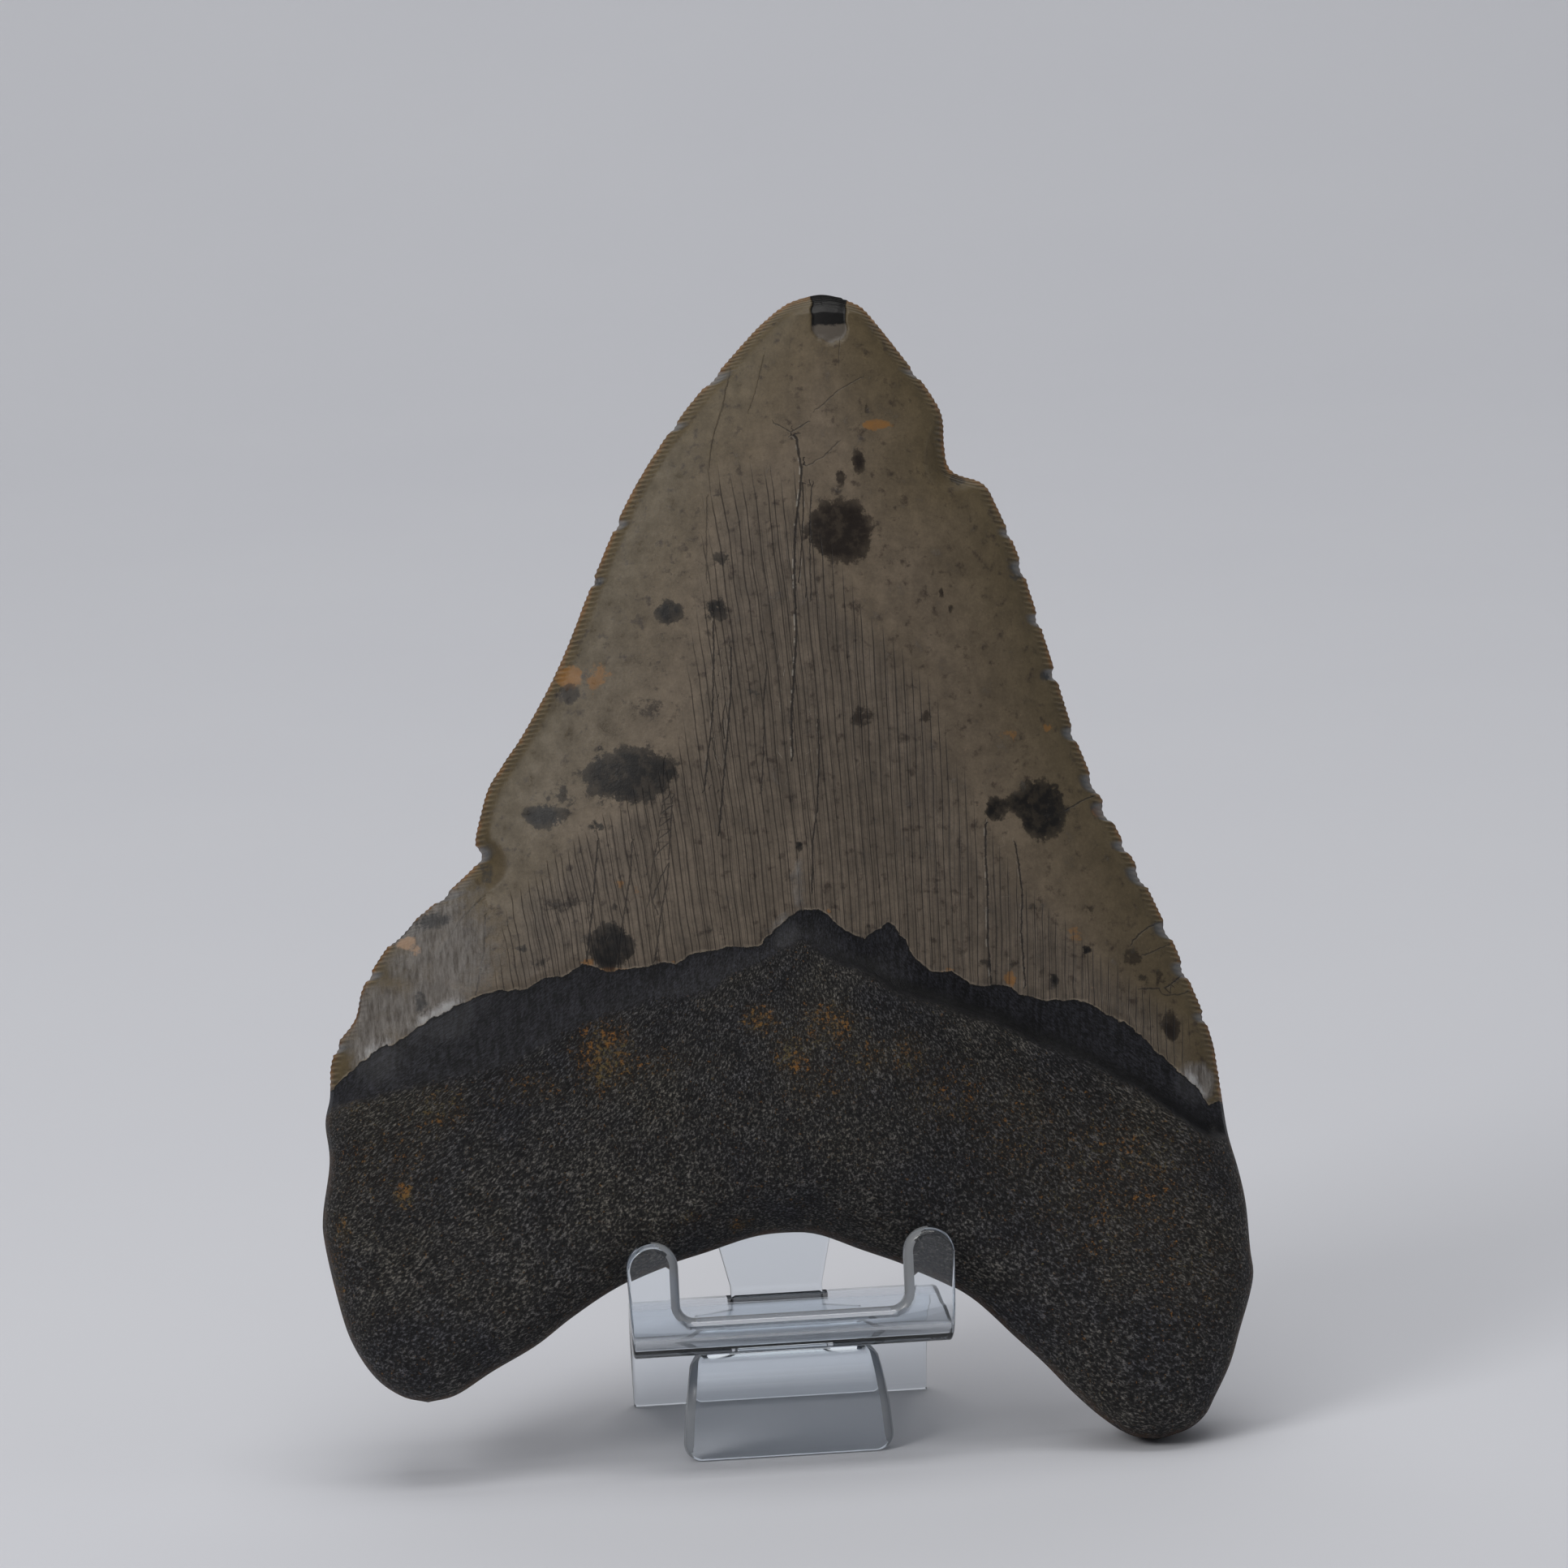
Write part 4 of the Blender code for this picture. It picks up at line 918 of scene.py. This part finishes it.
# %% Hairline cracks
# in the comb they stand about a millimetre apart and are a tenth of a millimetre wide
CRACK_SPACING = 0.95
sway = add(tree, "Math", {0: noises["sway"], 1: 0.8, 2: line_at}, operation="MULTIPLY_ADD")
sway = add(tree, "Math", {0: ragged, 1: 0.06, 2: sway}, operation="MULTIPLY_ADD")
gaps = add(tree, "Math", {0: value["lined"], 1: noises["gaps"]}, operation="ADD")
comb_line = 0.0
for spacing, reach, least, most, strength in ((CRACK_SPACING, 0.075, 0.45, 0.95, 0.9),
                                              (0.57 * CRACK_SPACING, 0.10, 0.9, 1.7, 0.5)):
    comb = add(tree, "TexVoronoi", {"W": sway, "Scale": 1.0 / spacing, "Randomness": 0.9},
               voronoi_dimensions="1D", feature="DISTANCE_TO_EDGE")
    comb = add(tree, "MapRange", {"Value": comb, 1: 0.3 * reach, 2: reach, 3: 1.0, 4: 0.0})
    seen = add(tree, "MapRange", {"Value": gaps, 1: least, 2: most, 3: 0.0, 4: strength})
    comb = add(tree, "Math", {0: comb, 1: seen}, operation="MULTIPLY")
    comb_line = add(tree, "Math", {0: comb, 1: comb_line}, operation="MAXIMUM")

# the long cracks: how far inside its half width a point lies, kept clear of other cracks' sides
crack = add(tree, "Math", {0: border["crack"]}, operation="ABSOLUTE")
half_width = add(tree, "Math", {0: value["crack_opening"], 1: 0.10, 2: 0.03}, operation="MULTIPLY_ADD")
crack = add(tree, "Math", {0: half_width, 1: crack}, operation="SUBTRACT")
crack = add(tree, "MapRange", {"Value": crack, 1: -0.05, 2: 0.04})
crack_here = add(tree, "Math", {0: value["crack_near"], 1: 0.6}, operation="LESS_THAN")
for factor in (crack_here, share["crack_tone"]):
    crack = add(tree, "Math", {0: crack, 1: factor}, operation="MULTIPLY")
lines = add(tree, "Math", {0: comb_line, 1: crack}, operation="MAXIMUM")
share["line"] = add(tree, "Math", {0: lines, 1: 0.8}, operation="MULTIPLY")

# one lip of an open crack catches the light here and there
lip = add(tree, "Math", {0: value["crack_side"], 1: -0.2, 2: 0.09}, operation="COMPARE")
for factor in (lip, share["lip"]):
    share["glint"] = add(tree, "Math", {0: share["glint"], 1: factor}, operation="MULTIPLY")

# %% Stains, and painted shade and highlights on the ribs of the saw teeth
for stain, strength in (("enamel_rust", 0.65), ("brown_stain", 0.95), ("black_stain", 0.96)):
    blotch = add(tree, "Math", {0: patches, 1: 1.5, 2: value[stain]}, operation="MULTIPLY_ADD")
    blotch = add(tree, "Math", {0: ragged, 1: 0.6, 2: blotch}, operation="MULTIPLY_ADD")
    inner = add(tree, "MapRange", {"Value": noises["freckles"], 1: 0.38, 2: 0.52, 3: 0.82 * strength,
                                   4: strength})
    faint = add(tree, "MapRange", {"Value": value[stain], 1: 0.3, 2: 0.8, 3: 0.6, 4: 1.0})
    inner = add(tree, "Math", {0: inner, 1: faint}, operation="MULTIPLY")
    share[stain] = add(tree, "MapRange", {"Value": blotch, 1: 1.16, 2: 1.28, 4: inner})

rib = add(tree, "Math", {0: value["edge_arc"], 1: 2 * math.pi / SERRATION}, operation="MULTIPLY")
rib = add(tree, "Math", {0: ragged, 1: 3.0, 2: rib}, operation="MULTIPLY_ADD")
rib = add(tree, "Math", {0: rib}, operation="SINE")
rib = add(tree, "Math", {0: rib, 1: share["rib_reach"]}, operation="MULTIPLY")
# each saw tooth gets a painted shade on one side and a painted highlight on the other
share["rib_dark"] = add(tree, "MapRange", {"Value": rib, 1: 0.1, 2: 0.8, 3: 0.0, 4: 0.32})
share["rib_light"] = add(tree, "MapRange", {"Value": rib, 1: -0.1, 2: -0.8, 3: 0.0, 4: 0.32})

# %% [markdown]
# The colours are laid over one another like glazes. Each surface starts from a blend of two colours,
# and then the layers follow from the bottom to the top: a share, and the colour that it lets in, or a
# tone that the colour is multiplied by.

# %% Colours, layer by layer
tone = {}
for name, part, first, second in (
        ("enamel", share["cloud"], "#63584a", "#726657"),
        ("chip", share["rib_reach"], "#3c4046", "#7c7e80"),
        ("smooth_and_sheen", share["sheen_tone"], "#57524e", "#8b8783"),
        ("broken", share["broken"], "#5d564e", "#151414"),
        ("speck", share["speck_warmth"], "#6f6440", "#9c6a30"),
        ("broad", share["cloud"], "#b9bac6", "#f2ecdf"),
        ("neck", share["neck_tone"], "#09090b", "#42424a")):
    tone[name] = add(tree, "Mix", {0: part, 6: linear(first), 7: linear(second)},
                     data_type="RGBA").outputs[2]
flecks = add(tree, "ValToRGB", {"Fac": grain})
dark_end, pale_end = flecks.color_ramp.elements
dark_end.position, dark_end.color = 0.36, linear("#0d0d0e")
pale_end.position, pale_end.color = 0.70, linear("#94928f")
middle = flecks.color_ramp.elements.new(0.52)
middle.color = linear("#303031")
tone["root"] = flecks.outputs["Color"]

for surface, part, tint, blend in (
        # painted highlight: the smooth patches are tinted silvery grey, palest in a band along the enamel's
        # end
        ("smooth_and_sheen", share["sheen_highlight"], "#c2c2c3", "MIX"),
        ("enamel", share["warm"], "#50452f", "MIX"),
        ("enamel", 1.0, "tip_tone", "MULTIPLY"),
        ("enamel", share["grey"], "#5a524b", "MIX"),
        ("enamel", 1.0, "patch_tone", "MULTIPLY"),
        ("enamel", 1.0, "dust_tone", "MULTIPLY"),
        ("enamel", share["streak"], "streak_tone", "MULTIPLY"),
        ("enamel", share["freckle"], "#302723", "MIX"),
        ("enamel", share["enamel_rust"], "#94652d", "MIX"),
        ("enamel", share["brown_stain"], "#1a1310", "MIX"),
        ("enamel", share["black_stain"], "#0d0d0f", "MIX"),
        ("enamel", share["line"], "#131113", "MIX"),
        ("enamel", share["glint"], "#aaa499", "MIX"),
        ("enamel", share["edge_glow"], "#8f6136", "MIX"),   # painted glow: thin edges let warm light through
        # painted shade and painted highlight on the saw teeth's ribs
        ("enamel", share["rib_dark"], "#33291f", "MIX"),
        ("enamel", share["rib_light"], "#9c8d74", "MIX"),
        ("enamel", share["chip"], "chip", "MIX"),
        # painted reflection on the smooth enamel patches
        ("enamel", share["smooth_and_sheen"], "smooth_and_sheen", "MIX"),
        ("enamel", share["dark_chip"], "#23282e", "MIX"),
        ("enamel", share["pale_chip"], "#b8977a", "MIX"),
        ("enamel", share["facet"], "broken", "MIX"),
        ("enamel", share["margin"], "#9a8d7a", "MIX"),
        ("root", 1.0, "root_tone", "MULTIPLY"),
        ("root", 1.0, "broad", "MULTIPLY"),                 # leans to blue-black or to olive
        ("root", share["rust_haze"], "#3b321f", "MIX"),
        ("root", share["speck"], "speck", "MIX"),
        ("root", share["fringe"], "#65482f", "MIX"),
        # painted sheen on the neck, where it is also smoother
        ("neck", share["neck_smooth_and_sheen"], "#6a6a6c", "MIX"),
        ("root", share["neck"], "neck", "MIX"),
        # painted shade: the groove under the root's rim at the right, and the gap under the enamel's edge
        ("root", share["groove_shade"], "#060607", "MIX"),
        ("root", share["shadow_gap"], "#060607", "MIX"),
        ("root", share["crown"], "enamel", "MIX")):
    if tint.startswith("#"):
        tint = linear(tint)
    else:
        tint = tone.get(tint) or share[tint]
    tone[surface] = add(tree, "Mix", {0: part, 6: tone[surface], 7: tint},
                        data_type="RGBA", blend_type=blend).outputs[2]
tree.links.new(tone["root"], shader.inputs["Base Color"])

# %% Gloss and relief
dull = add(tree, "MapRange", {"Value": share["neck"], 3: 0.60, 4: 0.42})
dull = add(tree, "Mix", {0: share["neck_smooth_and_sheen"], 2: dull, 3: 0.25})
satin = add(tree, "Mix", {0: share["smooth_and_sheen"], 2: share["satin"], 3: 0.32})
gloss = add(tree, "Mix", {0: share["crown"], 2: dull, 3: satin})
tree.links.new(gloss.outputs[0], shader.inputs["Roughness"])
shader.inputs["Specular IOR Level"].default_value = 0.28

crown_height = add(tree, "Math", {0: lines, 1: -0.05}, operation="MULTIPLY")
sheen_patch_ripple = add(tree, "Math", {0: share["smooth_and_sheen"], 1: ripple}, operation="MULTIPLY")
for source, height in ((noises["dust"], 0.02), (patches, 0.05), (rib, -0.05), (sheen_patch_ripple, 0.45)):
    crown_height = add(tree, "Math", {0: source, 1: height, 2: crown_height}, operation="MULTIPLY_ADD")
root_height = add(tree, "Math", {0: grain, 1: 0.6}, operation="MULTIPLY")
neck_height = add(tree, "Math", {0: grain, 1: 0.2}, operation="MULTIPLY")
below_height = add(tree, "Mix", {0: share["neck"], 2: root_height, 3: neck_height})
height = add(tree, "Mix", {0: share["crown"], 2: below_height, 3: crown_height})
bump = add(tree, "Bump", {"Height": height, "Strength": 1.0, "Distance": MM})
tree.links.new(bump.outputs[0], shader.inputs["Normal"])
tooth.data.materials.append(fossil)
print("fossil material nodes:", len(tree.nodes))

# %% [markdown]
# ## The clear easel
# Both plates are clear acrylic, cut flat and then bent hot. The front plate, the cradle, has two
# prongs that keep the root's arch from slipping forward, a shelf and a rear leg that curves down. The
# other plate stands on its front leg, passes under the shelf and rises through a slot as the
# backrest. Each is drawn flat with its rounded rims, parted at every bend line, and then laid along
# its side view. Cutting first and bending afterwards is also how the real ones are made.

# %% Measures and side view of a bent plate
CRADLE_WIDTH, CRADLE_REAR_WIDTH = 38.9, 36.4
PRONG_WIDTH, PRONG_TOP, PRONG_STRAIGHT, PRONG_BEND = 6.1, 29.1, 9.4, 4.5
SHELF_RISE, HUMP_RADIUS = 3.4, 16.0
LIP_DEPTH, LIP_CORNER = 9.5, 1.8
EASEL_FRONT, EASEL_ASIDE = 1.5, -0.7
LEG_STRAIGHT, LEG_BEND, TONGUE_RUN, NECK_BEND = 5.8, 6.0, 2.8, 3.0
BACKREST_LEAN, BACKREST_LENGTH = 9.0, 40.0


class Bend:
    """Side view of a bent plate, laid as straight runs and arcs from a start point."""

    def __init__(self, start, heading):
        self.stations = [0.0]
        self.points = [start]
        self.headings = [math.radians(heading)]

    def run(self, length, parts=1):
        return self._lay(length, 0.0, parts)

    def arc(self, radius, angle, parts):
        return self._lay(radius * math.radians(abs(angle)), math.radians(angle), parts)

    def _lay(self, length, turn, parts):
        for _ in range(parts):
            step, swing = length / parts, turn / parts
            chord = step if swing == 0.0 else step * math.sin(swing / 2) / (swing / 2)
            middle = self.headings[-1] + swing / 2
            y, z = self.points[-1]
            self.points.append((y + chord * math.cos(middle), z + chord * math.sin(middle)))
            self.stations.append(self.stations[-1] + step)
            self.headings.append(self.headings[-1] + swing)
        return self

    def at(self, length, height):
        """World (y, z) of a point at a length along the plate and a height above its middle."""
        y = np.interp(length, self.stations, [p[0] for p in self.points])
        z = np.interp(length, self.stations, [p[1] for p in self.points])
        heading = np.interp(length, self.stations, self.headings)
        return y - height * math.sin(heading), z + height * math.cos(heading)

    @property
    def length(self):
        return self.stations[-1]


# %% The two side views
cradle_bend = Bend((CRADLE_FRONT, PRONG_TOP), -90.0)
cradle_bend.run(PRONG_STRAIGHT).arc(PRONG_BEND, 90.0 + SHELF_RISE, 24)
rise = math.radians(SHELF_RISE)
climb = HUMP_RADIUS * math.cos(rise) - cradle_bend.points[-1][1]
cradle_bend.run(climb / math.sin(rise)).arc(HUMP_RADIUS, -(90.0 + SHELF_RISE), 40)

easel_bend = Bend((EASEL_FRONT, 0.0), 90.0)
easel_bend.run(LEG_STRAIGHT).arc(LEG_BEND, -90.0, 24).run(TONGUE_RUN)
easel_bend.arc(NECK_BEND, 90.0 - BACKREST_LEAN, 16)
NECK_FOOT = easel_bend.length
easel_bend.run(BACKREST_LENGTH)
print("flat lengths, mm:", round(cradle_bend.length, 1), round(easel_bend.length, 1))

# %% [markdown]
# The rims are not alike. The sides that were cut between the prongs, and the long sides of the front
# leg, are wide and rolled over, and bend the light into broad bright bands. The outer sides of the
# prongs and of the backrest are only just broken and show as a fine bright line. So every outline
# point carries the width of its own front rim.

# %% Outlines with rim widths: (across, length along the plate, width of the front rim)
WIDE_RIM, FINE_RIM, TOP_RIM = 1.6, 0.45, 0.8
RIM_DEPTH = 1.2
BACK_RIM = 0.3
FOOT_HALF, FOOT_CORNER, SHIN_HALF, LEG_HALF, TONGUE_HALF = 12.6, 2.0, 12.3, 11.4, 10.1
NECK_HALF, NECK_LENGTH, SHOULDER_DROP = 5.6, 4.0, 0.3
REST_HALF, REST_CORNER = 12.0, 9.0


def round_corner(centre, radius, start, end, parts, rim_start, rim_end):
    """Points round a corner, with the rim's width blending from one side to the other."""
    points = []
    for i in range(parts + 1):
        share = i / parts
        angle = math.radians(start + (end - start) * share)
        points.append((centre[0] + radius * math.cos(angle), centre[1] + radius * math.sin(angle),
                       rim_start + (rim_end - rim_start) * share))
    return points


def both_sides(right):
    return right + [(-x, length, rim) for x, length, rim in reversed(right)]


# %% The two outlines
half, tip = CRADLE_WIDTH / 2, PRONG_WIDTH / 2
inner = half - PRONG_WIDTH
prong = round_corner((half - tip, tip), tip, 0.0, -90.0, 10, FINE_RIM, TOP_RIM)
prong += round_corner((half - tip, tip), tip, -90.0, -180.0, 10, TOP_RIM, WIDE_RIM)[1:]
notch = round_corner((inner - LIP_CORNER, LIP_DEPTH - LIP_CORNER), LIP_CORNER, 0.0, 90.0, 6, WIDE_RIM,
                     TOP_RIM)
rear_corner = [(CRADLE_REAR_WIDTH / 2, cradle_bend.length, FINE_RIM)]
cradle_outline = both_sides(rear_corner + prong + notch)

foot = round_corner((FOOT_HALF - FOOT_CORNER, FOOT_CORNER), FOOT_CORNER, -90.0, 0.0, 8, FINE_RIM, WIDE_RIM)
leg = [(SHIN_HALF, LEG_STRAIGHT, WIDE_RIM), (LEG_HALF, LEG_STRAIGHT + LEG_BEND * math.radians(60), WIDE_RIM),
       (TONGUE_HALF, LEG_STRAIGHT + LEG_BEND * math.radians(90), WIDE_RIM)]
shoulder = NECK_FOOT - SHOULDER_DROP
neck_sides = [(TONGUE_HALF, shoulder - 2 * SHOULDER_DROP, FINE_RIM), (NECK_HALF, shoulder, FINE_RIM),
              (NECK_HALF, shoulder + NECK_LENGTH, FINE_RIM)]
rest_top = round_corner((REST_HALF - REST_CORNER, easel_bend.length - REST_CORNER), REST_CORNER, 0.0, 90.0,
                        16, FINE_RIM, FINE_RIM)
easel_outline = both_sides(foot + leg + neck_sides + rest_top)
print("outline points:", len(cradle_outline), len(easel_outline))

# %% Rims of a plate
RIM_STEPS, BACK_RIM_STEPS = 5, 2
SHARP_ANGLE = math.radians(40)
ROLLED_SHARE, FLAT_FACE = 0.3, 0.97     # a face is satin if it is rolled more, and tilted more


def inward_offsets(outline):
    """For each outline point, the direction that moves both of its sides inwards by one."""
    points = np.array([(x, length) for x, length, _ in outline])
    ahead = np.roll(points, -1, axis=0) - points
    ahead /= np.linalg.norm(ahead, axis=1)[:, None]
    behind = np.roll(ahead, 1, axis=0)
    turning = np.cross(points, np.roll(points, -1, axis=0)).sum()
    sign = 1.0 if turning > 0 else -1.0
    normals = np.stack([-(ahead + behind)[:, 1], (ahead + behind)[:, 0]], axis=1) * sign
    return normals / (1.0 + (ahead * behind).sum(axis=1))[:, None]


def rim_levels():
    """Height above the back face, and the share of the back and front rim's width left off."""
    levels = []
    for step in range(BACK_RIM_STEPS + 1):
        turn = math.pi / 2 * step / BACK_RIM_STEPS
        levels.append((BACK_RIM * (1 - math.cos(turn)), 1 - math.sin(turn), 0.0))
    for step in range(RIM_STEPS + 1):
        turn = math.pi / 2 * step / RIM_STEPS
        levels.append((PLATE - RIM_DEPTH * (1 - math.sin(turn)), 0.0, 1 - math.cos(turn)))
    return levels


# %% Parting a plate and cutting its slot
def part_at(bm, place, direction=(0.0, 1.0, 0.0)):
    """Part every face that a plane crosses; both sides stay."""
    bmesh.ops.bisect_plane(bm, geom=bm.verts[:] + bm.edges[:] + bm.faces[:], dist=1e-4,
                           plane_co=place, plane_no=direction)


def cut_slot(bm, low_x, high_x, low_length, high_length):
    """Part the plate along the slot's four sides, take the caps out and join the rims."""
    for x in (low_x, high_x):
        part_at(bm, (x, 0.0, 0.0), (1.0, 0.0, 0.0))
    for length in (low_length, high_length):
        part_at(bm, (0.0, length, 0.0))
    caps = [f for f in bm.faces
            if low_x < f.calc_center_median().x < high_x
            and low_length < f.calc_center_median().y < high_length]
    inside = set(caps)
    rim = [e for f in caps for e in f.edges if not all(other in inside for other in e.link_faces)]
    bmesh.ops.delete(bm, geom=caps, context="FACES_ONLY")
    bmesh.ops.bridge_loops(bm, edges=[e for e in set(rim) if e.is_valid])
    loose = [e for e in bm.edges if not e.link_faces]
    bmesh.ops.delete(bm, geom=loose, context="EDGES")


# %% Raising and bending a plate
def bent_plate(name, outline, bend, aside, front, slot=None):
    """Raise the outline level by level with rolled rims, cut the slot, and lay it along the bend."""
    bm = bmesh.new()
    corner = bm.verts.layers.int.new("corner")
    rolled = bm.verts.layers.float.new("rolled")
    offsets = inward_offsets(outline)
    levels = rim_levels()
    top = bm.faces.new([bm.verts.new((x, length, 0.0)) for x, length, _ in outline])
    for i, v in enumerate(top.verts):
        v[corner] = i
    for number, (height, back_share, front_share) in enumerate(levels):
        if number:
            below = top
            raised = bmesh.ops.extrude_face_region(bm, geom=[below])["geom"]
            top = next(f for f in raised if isinstance(f, bmesh.types.BMFace))
            if number > 1:
                bm.faces.remove(below)
        for v in top.verts:
            x, length, rim = outline[v[corner]]
            inset = back_share * BACK_RIM + front_share * rim
            v[rolled] = (1.0 - front_share) * (rim - FINE_RIM) / (WIDE_RIM - FINE_RIM)
            v.co = (x + offsets[v[corner]][0] * inset, length + offsets[v[corner]][1] * inset, height)
    for station in bend.stations[1:-1]:
        part_at(bm, (0.0, station, 0.0))
    if slot:
        cut_slot(bm, *slot)
    bmesh.ops.recalc_face_normals(bm, faces=bm.faces)
    for face in bm.faces:
        in_rim = sum(v[rolled] for v in face.verts) / len(face.verts)
        if in_rim > ROLLED_SHARE and abs(face.normal.z) < FLAT_FACE:
            face.material_index = 1
    for v in bm.verts:
        y, z = bend.at(v.co.y, front * (v.co.z - PLATE / 2))
        v.co = stand_zero + Vector((v.co.x + aside, y, z)) * MM
    if bm.calc_volume(signed=True) < 0.0:
        bmesh.ops.reverse_faces(bm, faces=bm.faces)
    piece = new_object(name, new_mesh(name, bm))
    piece.data.set_sharp_from_angle(angle=SHARP_ANGLE)
    even = piece.modifiers.new("even_shading", "WEIGHTED_NORMAL")
    even.keep_sharp = True
    return piece


# %% Where the slot lies
SLOT_PLAY, SLOT_ABOVE_BEND = 0.5, 1.6


def slot_stations():
    """Where along the cradle its slot starts and ends, from where the neck passes through."""
    neck_y, neck_z = easel_bend.at(NECK_FOOT + SLOT_ABOVE_BEND, 0.0)
    lengths = np.linspace(0.0, cradle_bend.length, 4000)
    lean = math.radians(BACKREST_LEAN)
    across_neck = []
    for length in lengths:
        y, z = cradle_bend.at(length, 0.0)
        across_neck.append((y - neck_y) * math.cos(lean) - (z - neck_z) * math.sin(lean))
    across_neck = np.array(across_neck)
    reach = PLATE / 2 + SLOT_PLAY
    on_hump = lengths > PRONG_STRAIGHT + 10.0
    inside = lengths[on_hump & (abs(across_neck) < reach)]
    return inside.min(), inside.max()


# %% Both plates
slot_start, slot_end = slot_stations()
slot_half = NECK_HALF + SLOT_PLAY
cradle = bent_plate("clear_cradle", cradle_outline, cradle_bend, 0.0, -1.0,
                    slot=(EASEL_ASIDE - slot_half, EASEL_ASIDE + slot_half, slot_start, slot_end))
easel = bent_plate("clear_easel", easel_outline, easel_bend, EASEL_ASIDE, 1.0)
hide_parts("cradle_plate")
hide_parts("easel_plate")
for plate in (cradle, easel):
    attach(plate, "root")
print("slot from", round(slot_start, 2), "to", round(slot_end, 2), "mm along the cradle")
print("plate faces:", len(cradle.data.polygons), len(easel.data.polygons))

# %% [markdown]
# ## Clear acrylic
# Cast acrylic bends light a little less than glass and takes the faintest cold tint where one looks
# into its edge. Its faces stay polished, but bending them hot leaves a slight waviness.

# %% Acrylic material
# polished cast acrylic: clear, with bright edges; the slight waviness comes from the hot bends
# satin cut acrylic: the wide rolled rims keep a little haze from cutting, so they show as pale bands
for name, transmission, roughness, wave_length in (("polished_cast_acrylic", 1.0, 0.02, 11.0),
                                                   ("satin_cut_acrylic", 0.72, 0.26, 3.0)):
    acrylic, tree, shader = new_material(name)
    shader.inputs["Base Color"].default_value = linear("#f4f8fc")
    shader.inputs["Transmission Weight"].default_value = transmission
    shader.inputs["IOR"].default_value = 1.49
    shader.inputs["Roughness"].default_value = roughness
    where = add(tree, "TexCoord").outputs["Object"]
    waviness = add(tree, "TexNoise", {"Vector": where, "Scale": 1.0 / (wave_length * MM), "Detail": 1.0})
    waves = add(tree, "Bump", {"Height": waviness, "Strength": 0.15, "Distance": 0.3 * MM})
    tree.links.new(waves.outputs[0], shader.inputs["Normal"])
    tint = add(tree, "VolumeAbsorption", {"Color": linear("#dfe9ee"), "Density": 12.0})
    tree.links.new(tint.outputs[0], tree.nodes["Material Output"].inputs["Volume"])
    cradle.data.materials.append(acrylic)
    easel.data.materials.append(acrylic)
    print(name, "on both plates")
